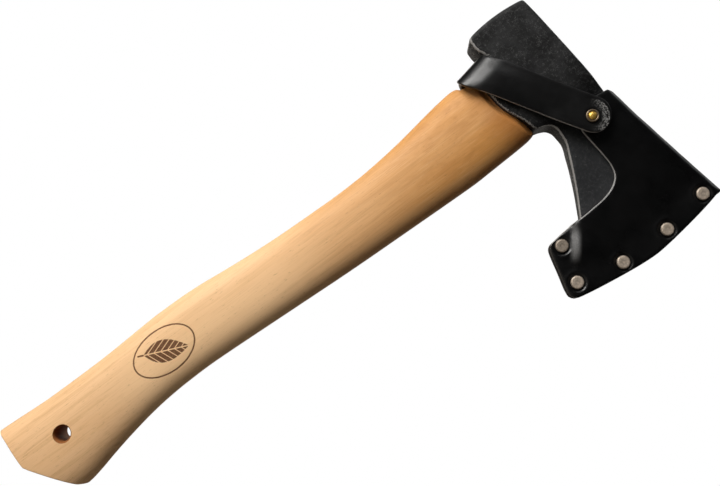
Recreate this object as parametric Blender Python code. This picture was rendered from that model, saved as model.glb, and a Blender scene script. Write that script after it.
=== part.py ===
"""Hatchet with a folded leather sheath held by a snapped neck strap.

The haft stands along +Z with its butt at z = 0, the poll points along -X and the bit along +X.
The near (snap) face looks along -Y, the far face along +Y; back is -X and front is +X.
Lengths are in millimetres, with x measured from AXIS_X; solid() turns them into metres.
"""

import math

import bmesh
import bpy
import numpy as np
from mathutils import Vector
from mathutils.geometry import delaunay_2d_cdt

for old in list(bpy.data.objects):
    bpy.data.objects.remove(old)

# ---------------------------------------------------------------- driving dimensions
MM = 0.001
AXIS_X = -36.9  # eye axis of the head, from the scene origin
GAP = 0.3  # air between pieces that touch

HANDLE_POWER = 2.35  # superellipse exponent of the grip section
HOLE_X, HOLE_Z, HOLE_R = 2.6, 28.5, 4.75  # lanyard hole
EYE_BACK, EYE_FRONT, EYE_HALF = -21.0, 19.8, 8.7  # eye through the head
EYE_POWER = 2.3
TENON_CLEAR = 0.35  # between the tenon and the eye
WOOD_PROUD = 0.8  # wood standing above the head

KERF_TOP, KERF_BOTTOM = 4.6, 2.2  # widths of the wedge slot
KERF_FLOOR, KERF_CUT_TOP = 338.0, 376.0
KERF_BACK, KERF_FRONT = -17.6, 16.2
RING_R_OUT, RING_R_IN, RING_DEPTH = 6.2, 4.9, 9.0

LEATHER = 2.5  # sheath leather
STRAP_LEATHER = 2.2
STRAP_MID_Y = 13.9  # middle of the strap leather, from the middle plane
SEAM_HALF_GAP = 1.4  # middle plane to the inside of each panel, at the seam
WELT_HALF = 1.1
SEAM_TOP_Z = 299.0  # below this the panels are drawn together under the heel of the blade
CORNER_R = 4.0  # middle of the strap leather, round each corner of the neck
REAR_LOW, REAR_HIGH = (-19.9, 304.4), (-23.9, 324.8)  # (x, z) ends of the strap's rear edge
REAR_X = (REAR_LOW[0] + REAR_HIGH[0]) / 2
REAR_Z = (REAR_LOW[1] + REAR_HIGH[1]) / 2
REAR_LEAN = -0.194  # x per z of the band behind the neck

RIVET_HEAD_R, RIVET_HEAD_H, RIVET_POST_R, RIVET_HOLE_R = 3.75, 1.5, 1.25, 1.65
RIVETS = [(79.6, 296.0), (99.9, 290.4), (106.2, 316.8), (106.5, 346.8), (103.0, 374.4)]  # (x, z)
SNAP_X, SNAP_Z = 33.8, 350.9
SHEATH_PIVOT = (96.0, 256.0)  # (x, z) of the virtual pivot the sheath is rolled off about
AXIS_LEAN = 0.32  # x per drop in z of the strap's turning lines


# ---------------------------------------------------------------- curves
def monotone_slopes(xs, ys):
    """Slopes of a monotone cubic through the table."""
    gaps = np.diff(xs)
    grades = np.diff(ys) / gaps
    slopes = np.zeros(len(xs))
    slopes[0], slopes[-1] = grades[0], grades[-1]
    for i in range(1, len(xs) - 1):
        if grades[i - 1] * grades[i] > 0:
            before = 2 * gaps[i] + gaps[i - 1]
            after = gaps[i] + 2 * gaps[i - 1]
            slopes[i] = (before + after) / (before / grades[i - 1] + after / grades[i])
    return slopes


class Table:
    """A smooth function through (x, y) pairs, flat beyond its ends."""

    def __init__(self, pairs):
        self.x = np.array([pair[0] for pair in pairs], float)
        self.y = np.array([pair[1] for pair in pairs], float)
        self.slopes = monotone_slopes(self.x, self.y)

    def __call__(self, x):
        x = min(max(x, self.x[0]), self.x[-1])
        i = int(min(np.searchsorted(self.x, x, side="right") - 1, len(self.x) - 2))
        gap = self.x[i + 1] - self.x[i]
        t = (x - self.x[i]) / gap
        return float(
            (2 * t**3 - 3 * t**2 + 1) * self.y[i]
            + (t**3 - 2 * t**2 + t) * gap * self.slopes[i]
            + (-2 * t**3 + 3 * t**2) * self.y[i + 1]
            + (t**3 - t**2) * gap * self.slopes[i + 1]
        )


def smoothstep(t):
    t = min(max(t, 0.0), 1.0)
    return t * t * (3 - 2 * t)


def blend(start, end, t_start, t_end, t):
    span = t_end - t_start
    return start * (t_end - t) / span + end * (t - t_start) / span


def curve(points, step):
    """Points about every step along a centripetal Catmull-Rom curve, ends included."""
    knots = [np.array(point, float) for point in points]

    def step_count(start, end):
        return max(1, int(round(np.linalg.norm(end - start) / step)))

    if len(knots) == 2:
        start, end = knots
        count = step_count(start, end)
        return [start + (end - start) * i / count for i in range(count + 1)]
    knots = [2 * knots[0] - knots[1]] + knots + [2 * knots[-1] - knots[-2]]
    out = []
    for a, b, c, d in zip(knots, knots[1:], knots[2:], knots[3:]):
        t1 = np.linalg.norm(b - a) ** 0.5
        t2 = t1 + np.linalg.norm(c - b) ** 0.5
        t3 = t2 + np.linalg.norm(d - c) ** 0.5
        count = step_count(b, c)
        for k in range(count):
            t = t1 + (t2 - t1) * k / count
            ab = blend(a, b, 0.0, t1, t)
            bc = blend(b, c, t1, t2, t)
            cd = blend(c, d, t2, t3, t)
            out.append(blend(blend(ab, bc, 0.0, t2, t), blend(bc, cd, t1, t3, t), t1, t2, t))
    out.append(knots[-2])
    return out


SAME_POINT = 0.35  # points closer than this count as one when runs are joined


def joined(*runs):
    """Runs of points end to end as a closed loop, without the doubled points."""
    out = []
    for run in runs:
        for point in run:
            if not out or np.linalg.norm(out[-1] - point) > SAME_POINT:
                out.append(np.array(point, float))
    while np.linalg.norm(out[0] - out[-1]) < SAME_POINT:
        out.pop()
    return out


def circle(centre_x, centre_y, radius, count=14):
    angles = [2 * math.pi * k / count for k in range(count)]
    return [
        np.array((centre_x + radius * math.cos(a), centre_y + radius * math.sin(a)))
        for a in angles
    ]


def oval(back, front, half, power, count):
    """Points round a superellipse between x = back and x = front, y = +-half."""
    middle, reach = (back + front) / 2, (front - back) / 2

    def swell(value):
        return math.copysign(abs(value) ** (2 / power), value)

    angles = [2 * math.pi * k / count for k in range(count)]
    return [(middle + reach * swell(math.cos(a)), half * swell(math.sin(a))) for a in angles]


# ---------------------------------------------------------------- materials
def material(name, colour, roughness, metallic=0.0):
    made = bpy.data.materials.new(name)
    made.use_nodes = True
    shader = made.node_tree.nodes["Principled BSDF"]
    shader.inputs["Base Color"].default_value = (*colour, 1.0)
    shader.inputs["Roughness"].default_value = roughness
    shader.inputs["Metallic"].default_value = metallic
    return made


WOOD = material("haft_wood", colour=(0.72, 0.55, 0.36), roughness=0.5)
WEDGE_WOOD = material("wedge_wood", colour=(0.60, 0.43, 0.26), roughness=0.6)
STEEL = material("forged_steel", colour=(0.035, 0.035, 0.037), roughness=0.5, metallic=0.9)
RING_STEEL = material("ring_steel", colour=(0.25, 0.25, 0.26), roughness=0.35, metallic=1.0)
BLACK = material("black_leather", colour=(0.012, 0.012, 0.013), roughness=0.35)
STRAP_BLACK = material("strap_leather", colour=(0.014, 0.014, 0.015), roughness=0.4)
WELT_GREY = material("welt_leather", colour=(0.06, 0.055, 0.05), roughness=0.7)
NICKEL = material("antique_nickel", colour=(0.33, 0.27, 0.22), roughness=0.3, metallic=1.0)
BRASS = material("brass", colour=(0.75, 0.58, 0.28), roughness=0.25, metallic=1.0)


# ---------------------------------------------------------------- solids
# A shape is a (verts, faces) pair in millimetres.
def solid(name, shape, look=None, smooth_deg=40.0):
    """A named object facing out, smooth except at edges sharper than smooth_deg.

    Without a look it is a hidden cutter.
    """
    verts, faces = shape
    mesh = bpy.data.meshes.new(name)
    mesh.from_pydata(
        [((x + AXIS_X) * MM, y * MM, z * MM) for x, y, z in verts],
        [],
        [tuple(int(i) for i in face) for face in faces],
    )
    work = bmesh.new()
    work.from_mesh(mesh)
    bmesh.ops.remove_doubles(work, verts=work.verts, dist=1e-7)
    bmesh.ops.recalc_face_normals(work, faces=work.faces)
    if work.calc_volume(signed=True) < 0:
        bmesh.ops.reverse_faces(work, faces=work.faces)
    limit = math.radians(smooth_deg)
    for face in work.faces:
        face.smooth = True
    for edge in work.edges:
        edge.smooth = len(edge.link_faces) == 2 and edge.calc_face_angle(0.0) < limit
    work.to_mesh(mesh)
    work.free()
    obj = bpy.data.objects.new(name, mesh)
    bpy.context.scene.collection.objects.link(obj)
    if look:
        mesh.materials.append(look)
    else:
        obj.hide_render = True
        obj.display_type = "WIRE"
    return obj


def cut(obj, cutter):
    made = obj.modifiers.new("cut_" + cutter.name, "BOOLEAN")
    made.operation = "DIFFERENCE"
    made.solver = "EXACT"
    made.object = cutter


def lathe(profile, segments):
    """Shape round the Y axis from a closed list of (radius, height); height runs along -Y.

    Radius 0 closes on the axis.
    """
    verts, rows = [], []
    for radius, height in profile:
        if radius < 1e-6:
            rows.append([len(verts)])
            verts.append((0.0, -height, 0.0))
        else:
            rows.append(list(range(len(verts), len(verts) + segments)))
            for k in range(segments):
                angle = 2 * math.pi * k / segments
                verts.append((radius * math.cos(angle), -height, radius * math.sin(angle)))
    if len(rows[0]) > 1:
        rows.append(rows[0])
    faces = []
    for low, high in zip(rows, rows[1:]):
        if len(low) == 1 and len(high) == 1:
            continue
        for k in range(segments):
            following = (k + 1) % segments
            if len(low) == 1:
                faces.append((low[0], high[k], high[following]))
            elif len(high) == 1:
                faces.append((low[k], high[0], low[following]))
            else:
                faces.append((low[k], high[k], high[following], low[following]))
    return verts, faces


def turned(name, profile, x, z, look=None, segments=20, side=1.0):
    """A turned piece with its axis along Y through (x, z); side -1 puts it on the far face."""
    verts, faces = lathe(profile, segments)
    return solid(name, ([(vx + x, vy * side, vz + z) for vx, vy, vz in verts], faces), look)


def raised(base, pairs):
    """Profile points from (radius, height above base)."""
    return [(radius, base + height) for radius, height in pairs]


def rings_shape(rings):
    """Closed rings of equal length joined in order, with flat caps."""
    count = len(rings[0])
    last = (len(rings) - 1) * count
    faces = []
    for low in range(0, last, count):
        high = low + count
        for i in range(count):
            j = (i + 1) % count
            faces.append((low + i, low + j, high + j, high + i))
    faces.append(tuple(range(count - 1, -1, -1)))
    faces.append(tuple(last + i for i in range(count)))
    return [point for ring in rings for point in ring], faces


# ---------------------------------------------------------------- handle
# (z, x) of the back and front edges, then (z, half thickness)
HANDLE_BACK = Table([
    (-6, -19.6), (0, -20.3), (8, -20.9), (20, -20.6), (30, -20.2), (45, -20.0), (60, -20.0),
    (75, -20.4), (90, -21.2), (102, -21.7), (116, -21.6), (128, -21.0), (140, -19.8),
    (155, -18.4), (170, -17.3), (185, -16.6), (200, -16.2), (215, -15.9), (230, -16.2),
    (242, -17.0), (255, -18.3), (268, -20.1), (280, -22.0), (292, -23.7), (300, -24.4),
    (302.3, -23.9), (304.2, -22.3), (308, -21.8), (324, -21.6),
])
HANDLE_FRONT = Table([
    (-6, 30.0), (6, 29.9), (16, 29.5), (24, 28.9), (31, 27.6), (40, 25.4), (50, 23.2),
    (60, 21.3), (70, 19.7), (80, 18.6), (92, 17.9), (105, 17.7), (118, 18.1), (130, 18.7),
    (150, 19.8), (170, 20.9), (190, 22.0), (210, 22.9), (230, 23.6), (250, 24.3), (268, 24.9),
    (281, 25.1), (292, 24.5), (301, 23.5), (310, 22.4), (320, 21.3), (324, 20.9),
])
HANDLE_HALF = Table([
    (-6, 10.6), (15, 11.6), (35, 11.4), (60, 10.6), (100, 10.3), (150, 10.5), (200, 10.8),
    (250, 11.1), (295, 11.3), (312, 11.2), (324, 10.8),
])
HANDLE_LEVELS = [  # z of each section
    -6, 2, 10, 18, 26, 34, 44, 56, 70, 86, 104, 122, 140, 160, 180, 200, 220, 240, 258, 274,
    286, 295, 300, 302.3, 304.2, 307, 309.5, 311, 312.5, 314, 315.5, 317, 318.5, 320, 321.5,
    323, 326, 340, 372,
]
# (x, z) of the head's lower and upper edges
HEAD_LOW = Table([
    (-40.0, 326.4), (-39.2, 323.6), (-37.2, 321.7), (-33.6, 321.4), (-30.8, 323.4),
    (-28.6, 325.2), (-25.4, 325.2), (-23.4, 321.6), (-21.4, 318.0), (-16.0, 315.0),
    (-8.3, 314.1), (-2.0, 314.4), (4.0, 315.7), (9.0, 317.8), (14.0, 320.1), (18.5, 321.7),
    (21.3, 323.2), (22.5, 327.2), (25.0, 331.2), (29.0, 333.5), (34.5, 333.8), (44.5, 330.2),
    (60.0, 322.6), (74.3, 314.0), (83.0, 308.9), (87.5, 306.2), (91.3, 303.6),
])
HEAD_HIGH = Table([
    (-40.0, 360.4), (-39.4, 361.3), (-37.0, 361.7), (-16.0, 363.3), (5.8, 364.6),
    (28.0, 366.3), (46.0, 368.4), (62.0, 370.8), (76.0, 373.0), (86.0, 374.4), (94.2, 374.6),
])
BUTT_CORNERS = [(3.1, 0.0), (23.5, 14.4), (29.6, 22.0)]  # (x, z) along the sloping front of the butt
BUTT_CHAMFER = 1.3
BUTT_ZONE = 60  # only edges below this height are chamfered
SHOULDER_DROP, SHOULDER_BLEND = 1.0, 3.2  # grip narrows to tenon over this height under the head


def wood_top(x):
    return HEAD_HIGH(x) + WOOD_PROUD


WEDGE_TOP = wood_top(0) - 0.5
RING_TOP, RING_FOOT = wood_top(0) - 0.3, wood_top(0) - RING_DEPTH


def handle_blank():
    count = 36
    tenon_half = EYE_HALF - TENON_CLEAR
    tenon = oval(EYE_BACK + TENON_CLEAR, EYE_FRONT - TENON_CLEAR, tenon_half, EYE_POWER, count)
    rings = []
    for z in HANDLE_LEVELS:
        grip = oval(HANDLE_BACK(z), HANDLE_FRONT(z), HANDLE_HALF(z), HANDLE_POWER, count)
        ring = []
        for (grip_x, grip_y), (tenon_x, tenon_y) in zip(grip, tenon):
            share = smoothstep((HEAD_LOW(grip_x) - SHOULDER_DROP - z) / SHOULDER_BLEND)
            x = tenon_x + (grip_x - tenon_x) * share
            y = tenon_y + (grip_y - tenon_y) * share
            ring.append((x, y, z))
        rings.append(ring)
    return rings_shape(rings)


def handle_planes():
    """(point, outward normal) of the flat cuts: butt, the two slopes at its front, and top."""
    planes = [((0, 0, 0.0), (0, 0, -1))]
    for (x0, z0), (x1, z1) in zip(BUTT_CORNERS, BUTT_CORNERS[1:]):
        run, rise = x1 - x0, z1 - z0
        length = math.hypot(run, rise)
        planes.append(((x0, 0, z0), (rise / length, 0, -run / length)))
    back, front = -20, 20
    slope = (wood_top(front) - wood_top(back)) / (front - back)
    planes.append(((back, 0, wood_top(back)), (-slope, 0, 1)))
    return planes


def sliced(shape, planes):
    """The part of a shape behind every plane, cut faces filled and butt edges chamfered."""
    verts, faces = shape
    mesh = bpy.data.meshes.new("work")
    mesh.from_pydata(verts, [], faces)
    work = bmesh.new()
    work.from_mesh(mesh)
    for point, normal in planes:
        whole = list(work.verts) + list(work.edges) + list(work.faces)
        found = bmesh.ops.bisect_plane(
            work, geom=whole, plane_co=point, plane_no=normal, clear_outer=True
        )
        rim = [part for part in found["geom_cut"] if isinstance(part, bmesh.types.BMEdge)]
        bmesh.ops.edgeloop_fill(work, edges=rim)
    bmesh.ops.dissolve_degenerate(work, dist=1e-4, edges=work.edges)
    bmesh.ops.recalc_face_normals(work, faces=work.faces)
    sharp = [
        edge
        for edge in work.edges
        if len(edge.link_faces) == 2
        and edge.calc_face_angle(0.0) > math.radians(33)
        and all(vert.co.z < BUTT_ZONE for vert in edge.verts)
    ]
    bmesh.ops.bevel(
        work, geom=sharp, offset=BUTT_CHAMFER, offset_type="OFFSET", segments=2,
        profile=0.5, affect="EDGES", clamp_overlap=True,
    )
    work.verts.index_update()
    out_verts = [tuple(vert.co) for vert in work.verts]
    out_faces = [tuple(vert.index for vert in face.verts) for face in work.faces]
    work.free()
    bpy.data.meshes.remove(mesh)
    return out_verts, out_faces


def hole_cutter():
    """Cutter for the lanyard hole, straight through the middle and flared beyond both faces."""
    half = [(HOLE_R, 10.6), (HOLE_R + 0.05, 10.75), (HOLE_R + 5, 16), (0, 16)]
    profile = [(radius, -height) for radius, height in reversed(half)] + half
    return turned("cut_hole", profile, HOLE_X, HOLE_Z, segments=32)


def block(back, front, low, high, foot_inset=0.0):
    """A tapered block; low and high are (z, half width), its ends drawn in by foot_inset below."""
    rings = []
    for (z, half), inset in ((low, foot_inset), (high, 0.0)):
        x0, x1 = back + inset, front - inset
        rings.append([(x0, -half, z), (x1, -half, z), (x1, half, z), (x0, half, z)])
    return rings_shape(rings)


def kerf_half(z):
    slope = (KERF_TOP - KERF_BOTTOM) / (KERF_CUT_TOP - KERF_FLOOR) / 2
    return KERF_BOTTOM / 2 + slope * (z - KERF_FLOOR)


def kerf_cutter():
    low, high = [(z, kerf_half(z)) for z in (KERF_FLOOR, KERF_CUT_TOP)]
    return solid("cut_kerf", block(KERF_BACK, KERF_FRONT, low, high))


def make_wooden_wedge():
    low, high = [(z, kerf_half(z) - GAP) for z in (KERF_FLOOR + 2.0, WEDGE_TOP)]
    shape = block(KERF_BACK + 0.5, KERF_FRONT - 0.5, low, high, foot_inset=2.5)
    return solid("wooden_wedge", shape, WEDGE_WOOD)


def upright_ring(r_in, r_out, z_low, z_high, taper=0.0):
    """A ring about the middle of the eye, its outside narrower by taper at the foot."""
    profile = [(r_out - taper, z_low), (r_out, z_high), (r_in, z_high), (r_in, z_low)]
    verts, faces = lathe(profile, 28)
    centre_x = (EYE_BACK + EYE_FRONT) / 2
    return [(centre_x + x, z, -y) for x, y, z in verts], faces


def ring_cutter():
    shape = upright_ring(RING_R_IN - GAP, RING_R_OUT + GAP, RING_FOOT - 0.6, 372.0)
    return solid("cut_ring", shape)


def make_ring_wedge():
    shape = upright_ring(RING_R_IN, RING_R_OUT, RING_FOOT, RING_TOP, taper=0.5)
    solid("steel_ring_wedge", shape, RING_STEEL)


def make_handle_and_wedges():
    handle = solid("handle", sliced(handle_blank(), handle_planes()), WOOD, 30.0)
    cut(handle, hole_cutter())
    cut(handle, kerf_cutter())
    wooden_wedge = make_wooden_wedge()
    ring_groove = ring_cutter()
    cut(handle, ring_groove)
    cut(wooden_wedge, ring_groove)
    make_ring_wedge()


# ---------------------------------------------------------------- head
# (x, half thickness)
HEAD_HALF = Table([
    (-40, 11.6), (-38, 12.0), (-30, 12.1), (-15, 12.2), (-6, 12.3), (4, 12.2), (11, 11.9),
    (16, 11.2), (20, 10.1), (23, 9.0), (26, 7.9), (30, 6.9), (35, 6.0), (46, 4.9), (61, 3.7),
    (75, 2.7), (85, 1.95),
])
# (x at the lower edge, x at the upper edge, forward bow between them), poll to bit
HEAD_STATIONS = [(-40, -40, 0), (-39.2, -39.4, 0), (-37.2, -37, 0)]
HEAD_STATIONS += [
    (x, x, 0)
    for x in (-33.6, -30.8, -28.6, -25.4, -23.4, -21.4, -16, -8.3, -2, 4, 9, 14, 18.5, 21.3)
]
HEAD_STATIONS += [
    (22.5, 23.2, 0), (25, 26, 0), (29, 30, 0), (34.5, 36, 0), (44.5, 46, 0.2), (53, 55, 0.4),
    (61, 64, 0.8), (69, 72, 1.4), (77, 79, 2.2), (83, 85, 3.2), (88.2, 90, 5.0),
    (91.3, 94.2, 6.0),
]
BIT_HALVES = [1.25, 0.18]  # half thickness of the last two stations
HEAD_CHAMFER = 1.4


def head_ring(x_low, x_high, bow, half):
    """One section, up the near face and down the far one, with rounded corners."""
    z_low = HEAD_LOW(x_low)
    tall = HEAD_HIGH(x_high) - z_low
    chamfer = min(HEAD_CHAMFER, 0.5 * half)
    share = chamfer / tall
    # (share of the height, inset from the face)
    corner = [(0.0, chamfer), (0.293 * share, 0.293 * chamfer), (share, 0.0)]
    side = [(share + (1 - 2 * share) * j / 6, 0.0) for j in range(1, 6)]
    top = [(1 - t, inset) for t, inset in reversed(corner)]
    near, far = [], []
    for t, inset in corner + side + top:
        x = x_low + (x_high - x_low) * t + bow * 4 * t * (1 - t)
        z = z_low + tall * t
        near.append((x, -(half - inset), z))
        far.append((x, half - inset, z))
    return near + far[::-1]


def make_head():
    halves = [HEAD_HALF((low + high) / 2) for low, high, _ in HEAD_STATIONS[:-2]] + BIT_HALVES
    rings = [head_ring(*station, half) for station, half in zip(HEAD_STATIONS, halves)]
    head = solid("axe_head", rings_shape(rings), STEEL, 38.0)
    eye = oval(EYE_BACK, EYE_FRONT, EYE_HALF, EYE_POWER, 40)
    eye_rings = [[(x, y, z) for x, y in eye] for z in (300.0, 384.0)]
    cut(head, solid("cut_eye", rings_shape(eye_rings)))


# ---------------------------------------------------------------- flat patterns to leather
def normal_of(place, u, v, reach=0.05):
    along = place(u + reach, v) - place(u - reach, v)
    normal = np.cross(along, place(u, v + reach) - place(u, v - reach))
    return normal / np.linalg.norm(normal)


def inside(loop, point):
    hit = False
    for a, b in zip(loop, loop[1:] + loop[:1]):
        if (a[1] > point[1]) != (b[1] > point[1]):
            if point[0] < (b[0] - a[0]) * (point[1] - a[1]) / (b[1] - a[1]) + a[0]:
                hit = not hit
    return hit


def distance_to(loop, point):
    corners = np.array(loop)
    sides = np.roll(corners, -1, axis=0) - corners
    offsets = point - corners
    shares = (offsets * sides).sum(1) / np.maximum((sides * sides).sum(1), 1e-9)
    misses = offsets - sides * np.clip(shares, 0, 1)[:, None]
    return float(np.sqrt((misses**2).sum(1)).min())


def thick_sheet(outline, holes, grid, place, thick):
    """Shape of a closed sheet cut from a flat pattern.

    The outline with its holes is triangulated in the plane, with the grid points that lie clear
    of every edge, and placed on both sides of the middle surface given by place.
    """
    points, edges = [], []
    for loop in [outline] + holes:
        start = len(points)
        points += list(loop)
        edges += [(start + i, start + (i + 1) % len(loop)) for i in range(len(loop))]
    for point in grid:
        if inside(outline, point) and distance_to(outline, point) > 1.1:
            if all(distance_to(hole, point) > 0.9 and not inside(hole, point) for hole in holes):
                points.append(point)
    found = delaunay_2d_cdt([tuple(map(float, p)) for p in points], edges, [], 1, 1e-5)
    flat, triangles = [np.array(vert) for vert in found[0]], []
    for face in found[2]:
        middle = sum(flat[i] for i in face) / 3
        if inside(outline, middle) and not any(inside(hole, middle) for hole in holes):
            triangles.append(tuple(face))
    used = sorted({i for triangle in triangles for i in triangle})
    index = {i: k for k, i in enumerate(used)}
    verts = []
    for sign in (1, -1):
        for i in used:
            u, v = flat[i]
            verts.append(place(u, v) + sign * thick / 2 * normal_of(place, u, v))
    count = len(used)
    directed = {(tri[k], tri[(k + 1) % 3]) for tri in triangles for k in range(3)}
    faces = [tuple(index[i] for i in tri) for tri in triangles]
    faces += [tuple(index[i] + count for i in tri[::-1]) for tri in triangles]
    for a, b in directed:
        if (b, a) not in directed:
            faces.append((index[b], index[a], index[a] + count, index[b] + count))
    return verts, faces


def level_plane(y):
    """Middle surface of a flat sheet standing at this y."""
    return lambda x, z: np.array((x, y, z))


# ---------------------------------------------------------------- sheath
# (x, z of the outside of the fold)
FOLD_TOP = Table([
    (20, 369.6), (30.5, 370.9), (36.9, 371.8), (52.6, 373.2), (73.5, 376.3), (96.8, 380.6),
    (112, 383.2),
])
# (x, middle plane to the inside of a panel)
PANEL_IN = Table([
    (24, 9.0), (28, 8.5), (34, 8.0), (45, 6.4), (60, 4.8), (74, 3.6), (86, 2.4), (95, 1.6),
    (100, SEAM_HALF_GAP), (116, SEAM_HALF_GAP),
])
# (x, middle plane to the middle of the leather) where the far panel runs on into the strap
ARM_MID = Table([(12, STRAP_MID_Y), (18, 13.7), (23, 12.9), (28, 11.3), (33, 9.6), (37, 8.9)])
FOLD_R = 3.4  # largest bend radius of the fold, at the middle of the leather

# Outlines as (x, z)
MOUTH = [
    (75.3, 295.2), (74.5, 303.0), (74.1, 313.0), (73.9, 322.0), (73.4, 331.0), (71.4, 338.2),
    (67.6, 342.9), (62.0, 344.6), (54.5, 344.4), (44.0, 343.4),
]
NEAR_MOUTH_END = [(36.5, 342.4), (31.0, 344.6), (27.6, 349.4), (26.4, 356.0), (26.5, 361.5)]
BIT_SIDE = [
    (107.8, 380.3), (109.6, 371.0), (111.6, 357.0), (113.3, 341.0), (113.6, 334.0),
    (112.9, 324.0), (110.9, 309.0), (108.4, 294.0), (107.3, 288.6),
]
HEEL_SIDE = [
    (107.3, 288.6), (106.2, 285.2), (103.8, 283.5), (101.0, 283.6), (90.0, 286.5),
    (80.0, 289.2), (77.2, 290.4), (75.7, 292.4), (75.3, 295.2),
]
# Edges shared by the strap's arm on the far face and its tab on the near face, from the rear
STRAP_LOWER = [REAR_LOW, (-14.0, 309.2), (-8.3, 313.0), (-1.5, 317.2), (15.0, 327.5)]
STRAP_UPPER = [REAR_HIGH, (-18.6, 330.0), (-12.6, 333.8)]
ARM_LOWER = STRAP_LOWER + [(26.0, 334.4), (33.0, 338.9), (37.0, 341.5), (40.5, 343.0), MOUTH[-1]]
ARM_UPPER = STRAP_UPPER + [
    (-5.9, 337.9), (6.0, 345.3), (15.0, 351.2), (20.5, 356.0), (24.0, 360.2), (26.0, 362.6),
]
WELT_OUTER = [
    (107.3, 378.0), (108.9, 370.5), (110.9, 356.8), (112.7, 341.0), (113.0, 334.0),
    (112.3, 324.2), (110.3, 309.2), (107.8, 294.2), (106.6, 288.9), (105.6, 286.0),
    (103.6, 284.2), (101.2, 284.3), (90.1, 287.2), (80.2, 289.8), (77.6, 291.0),
    (76.4, 292.8), (76.0, 295.4),
]
WELT_INNER = [
    (76.0, 297.8), (77.8, 299.2), (80.4, 299.7), (84.0, 299.2), (88.0, 299.0), (94.5, 300.0),
    (99.0, 306.5), (101.2, 318.0), (102.3, 336.0), (101.8, 352.0), (99.8, 366.0),
    (98.8, 376.9),
]


def panel_mid(x, z, side):
    """Middle plane to the middle of the panel leather; side 1 is near, -1 far.

    The far panel runs on into the strap.
    """
    opening = PANEL_IN(x)
    if x > 66:
        opened = smoothstep((z - SEAM_TOP_Z) / 3.0)
        opening = SEAM_HALF_GAP + (opening - SEAM_HALF_GAP) * opened
    middle = opening + LEATHER / 2
    if side < 0 and x < 37:
        reach = smoothstep((FOLD_TOP(x) - 5.0 - z) / 9.0) if x > 24 else 1.0
        middle += max(0.0, ARM_MID(x) - middle) * reach
    return middle


def fold_size(x):
    """Half width, bend radius and top z of the fold, at the middle of the leather."""
    half = PANEL_IN(x) + LEATHER / 2
    return half, min(half, FOLD_R), FOLD_TOP(x) - LEATHER / 2


def sheet_point(x, v):
    """The middle surface of the folded sheet: x along the fold, v across it.

    v is 0 on top of the fold and positive on the near side.
    """
    half, radius, top = fold_size(x)
    flat, bend = half - radius, radius * math.pi / 2
    side, across = (1.0 if v >= 0 else -1.0), abs(v)
    if across <= flat:
        return np.array((x, -side * across, top))
    if across <= flat + bend:
        angle = (across - flat) / radius
        y = -side * (flat + radius * math.sin(angle))
        return np.array((x, y, top - radius + radius * math.cos(angle)))
    drop = across - flat - bend
    z = top - radius - drop
    ease = smoothstep(drop / 5.0)
    return np.array((x, -side * (half + (panel_mid(x, z, side) - half) * ease), z))


def sheet_v(x, z):
    """v on the near side for a height z below the fold."""
    half, radius, top = fold_size(x)
    bend = radius * math.pi / 2
    return half - radius + bend + max(top - radius - z, -bend * 0.98)


def on_panel(points, side):
    return [np.array((x, side * sheet_v(x, z))) for x, z in points]


def sheath_outline():
    """Flat pattern of the folded sheet, as (x, v)."""
    near_mouth = joined(curve(MOUTH + NEAR_MOUTH_END, 3.0))[1:]
    near = on_panel(joined(curve(BIT_SIDE, 4.0), curve(HEEL_SIDE, 2.5)) + near_mouth, 1)

    corner_v = sheet_v(27.2, 366.5)
    shoulder_v = sheet_v(29.6, 369.6) * 0.86
    half_top = [(27.2, corner_v), (29.6, shoulder_v), (30.6, 4.0)]
    mouth_top = half_top + [(30.8, 0.0)] + [(x, -v) for x, v in reversed(half_top)]

    strap_edge = joined(
        curve(ARM_UPPER[::-1], 4.0),
        curve([REAR_HIGH, REAR_LOW], 5.0),
        curve(ARM_LOWER, 4.0) if False else curve(ARM_LOWER[:], 4.0),
        curve(MOUTH[::-1], 3.0),
    )
    bit_edge = joined(curve(HEEL_SIDE[::-1], 2.5), curve(BIT_SIDE[::-1], 4.0))
    far = on_panel(strap_edge + bit_edge, -1)

    toe = [(107.9, -2.4), (108.0, 0.0), (107.9, 2.4)]
    outline = joined(near, mouth_top, far, toe)
    pairs = zip(outline, outline[1:] + outline[:1])
    if sum(a[0] * b[1] - b[0] * a[1] for a, b in pairs) < 0:
        outline = outline[::-1]
    return outline


def sheath_grid():
    """Inner points, closer together over the fold, every other row shifted along."""
    rows = [0.0, 1.6, 3.2, 4.8, 6.4, 8.0, 9.6, 11.2, 13.0, 15.2] + list(np.arange(18.5, 110, 4.4))
    return [
        np.array((x + (1.5 if j % 2 else 0), side * v))
        for x in np.arange(-22, 114, 4.4)
        for j, v in enumerate(rows)
        for side in ((1, -1) if v else (1,))
    ]


def make_sheath_leather():
    holes = [
        circle(x, side * sheet_v(x, z), RIVET_HOLE_R) for side in (1, -1) for x, z in RIVETS
    ]
    holes.append(circle(SNAP_X, sheet_v(SNAP_X, SNAP_Z), 1.3, 12))
    shape = thick_sheet(sheath_outline(), holes, sheath_grid(), sheet_point, LEATHER)
    return solid("sheath_leather", shape, BLACK)


def make_welt():
    outline = joined(joined(curve(WELT_OUTER, 4.0)), joined(curve(WELT_INNER, 4.0)))
    holes = [circle(x, z, RIVET_HOLE_R) for x, z in RIVETS]
    grid = [np.array((x, z)) for x in np.arange(78, 114, 4.0) for z in np.arange(286, 380, 5.0)]
    shape = thick_sheet(outline, holes, grid, level_plane(0.0), 2 * WELT_HALF)
    return solid("sheath_welt", shape, WELT_GREY)


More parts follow.
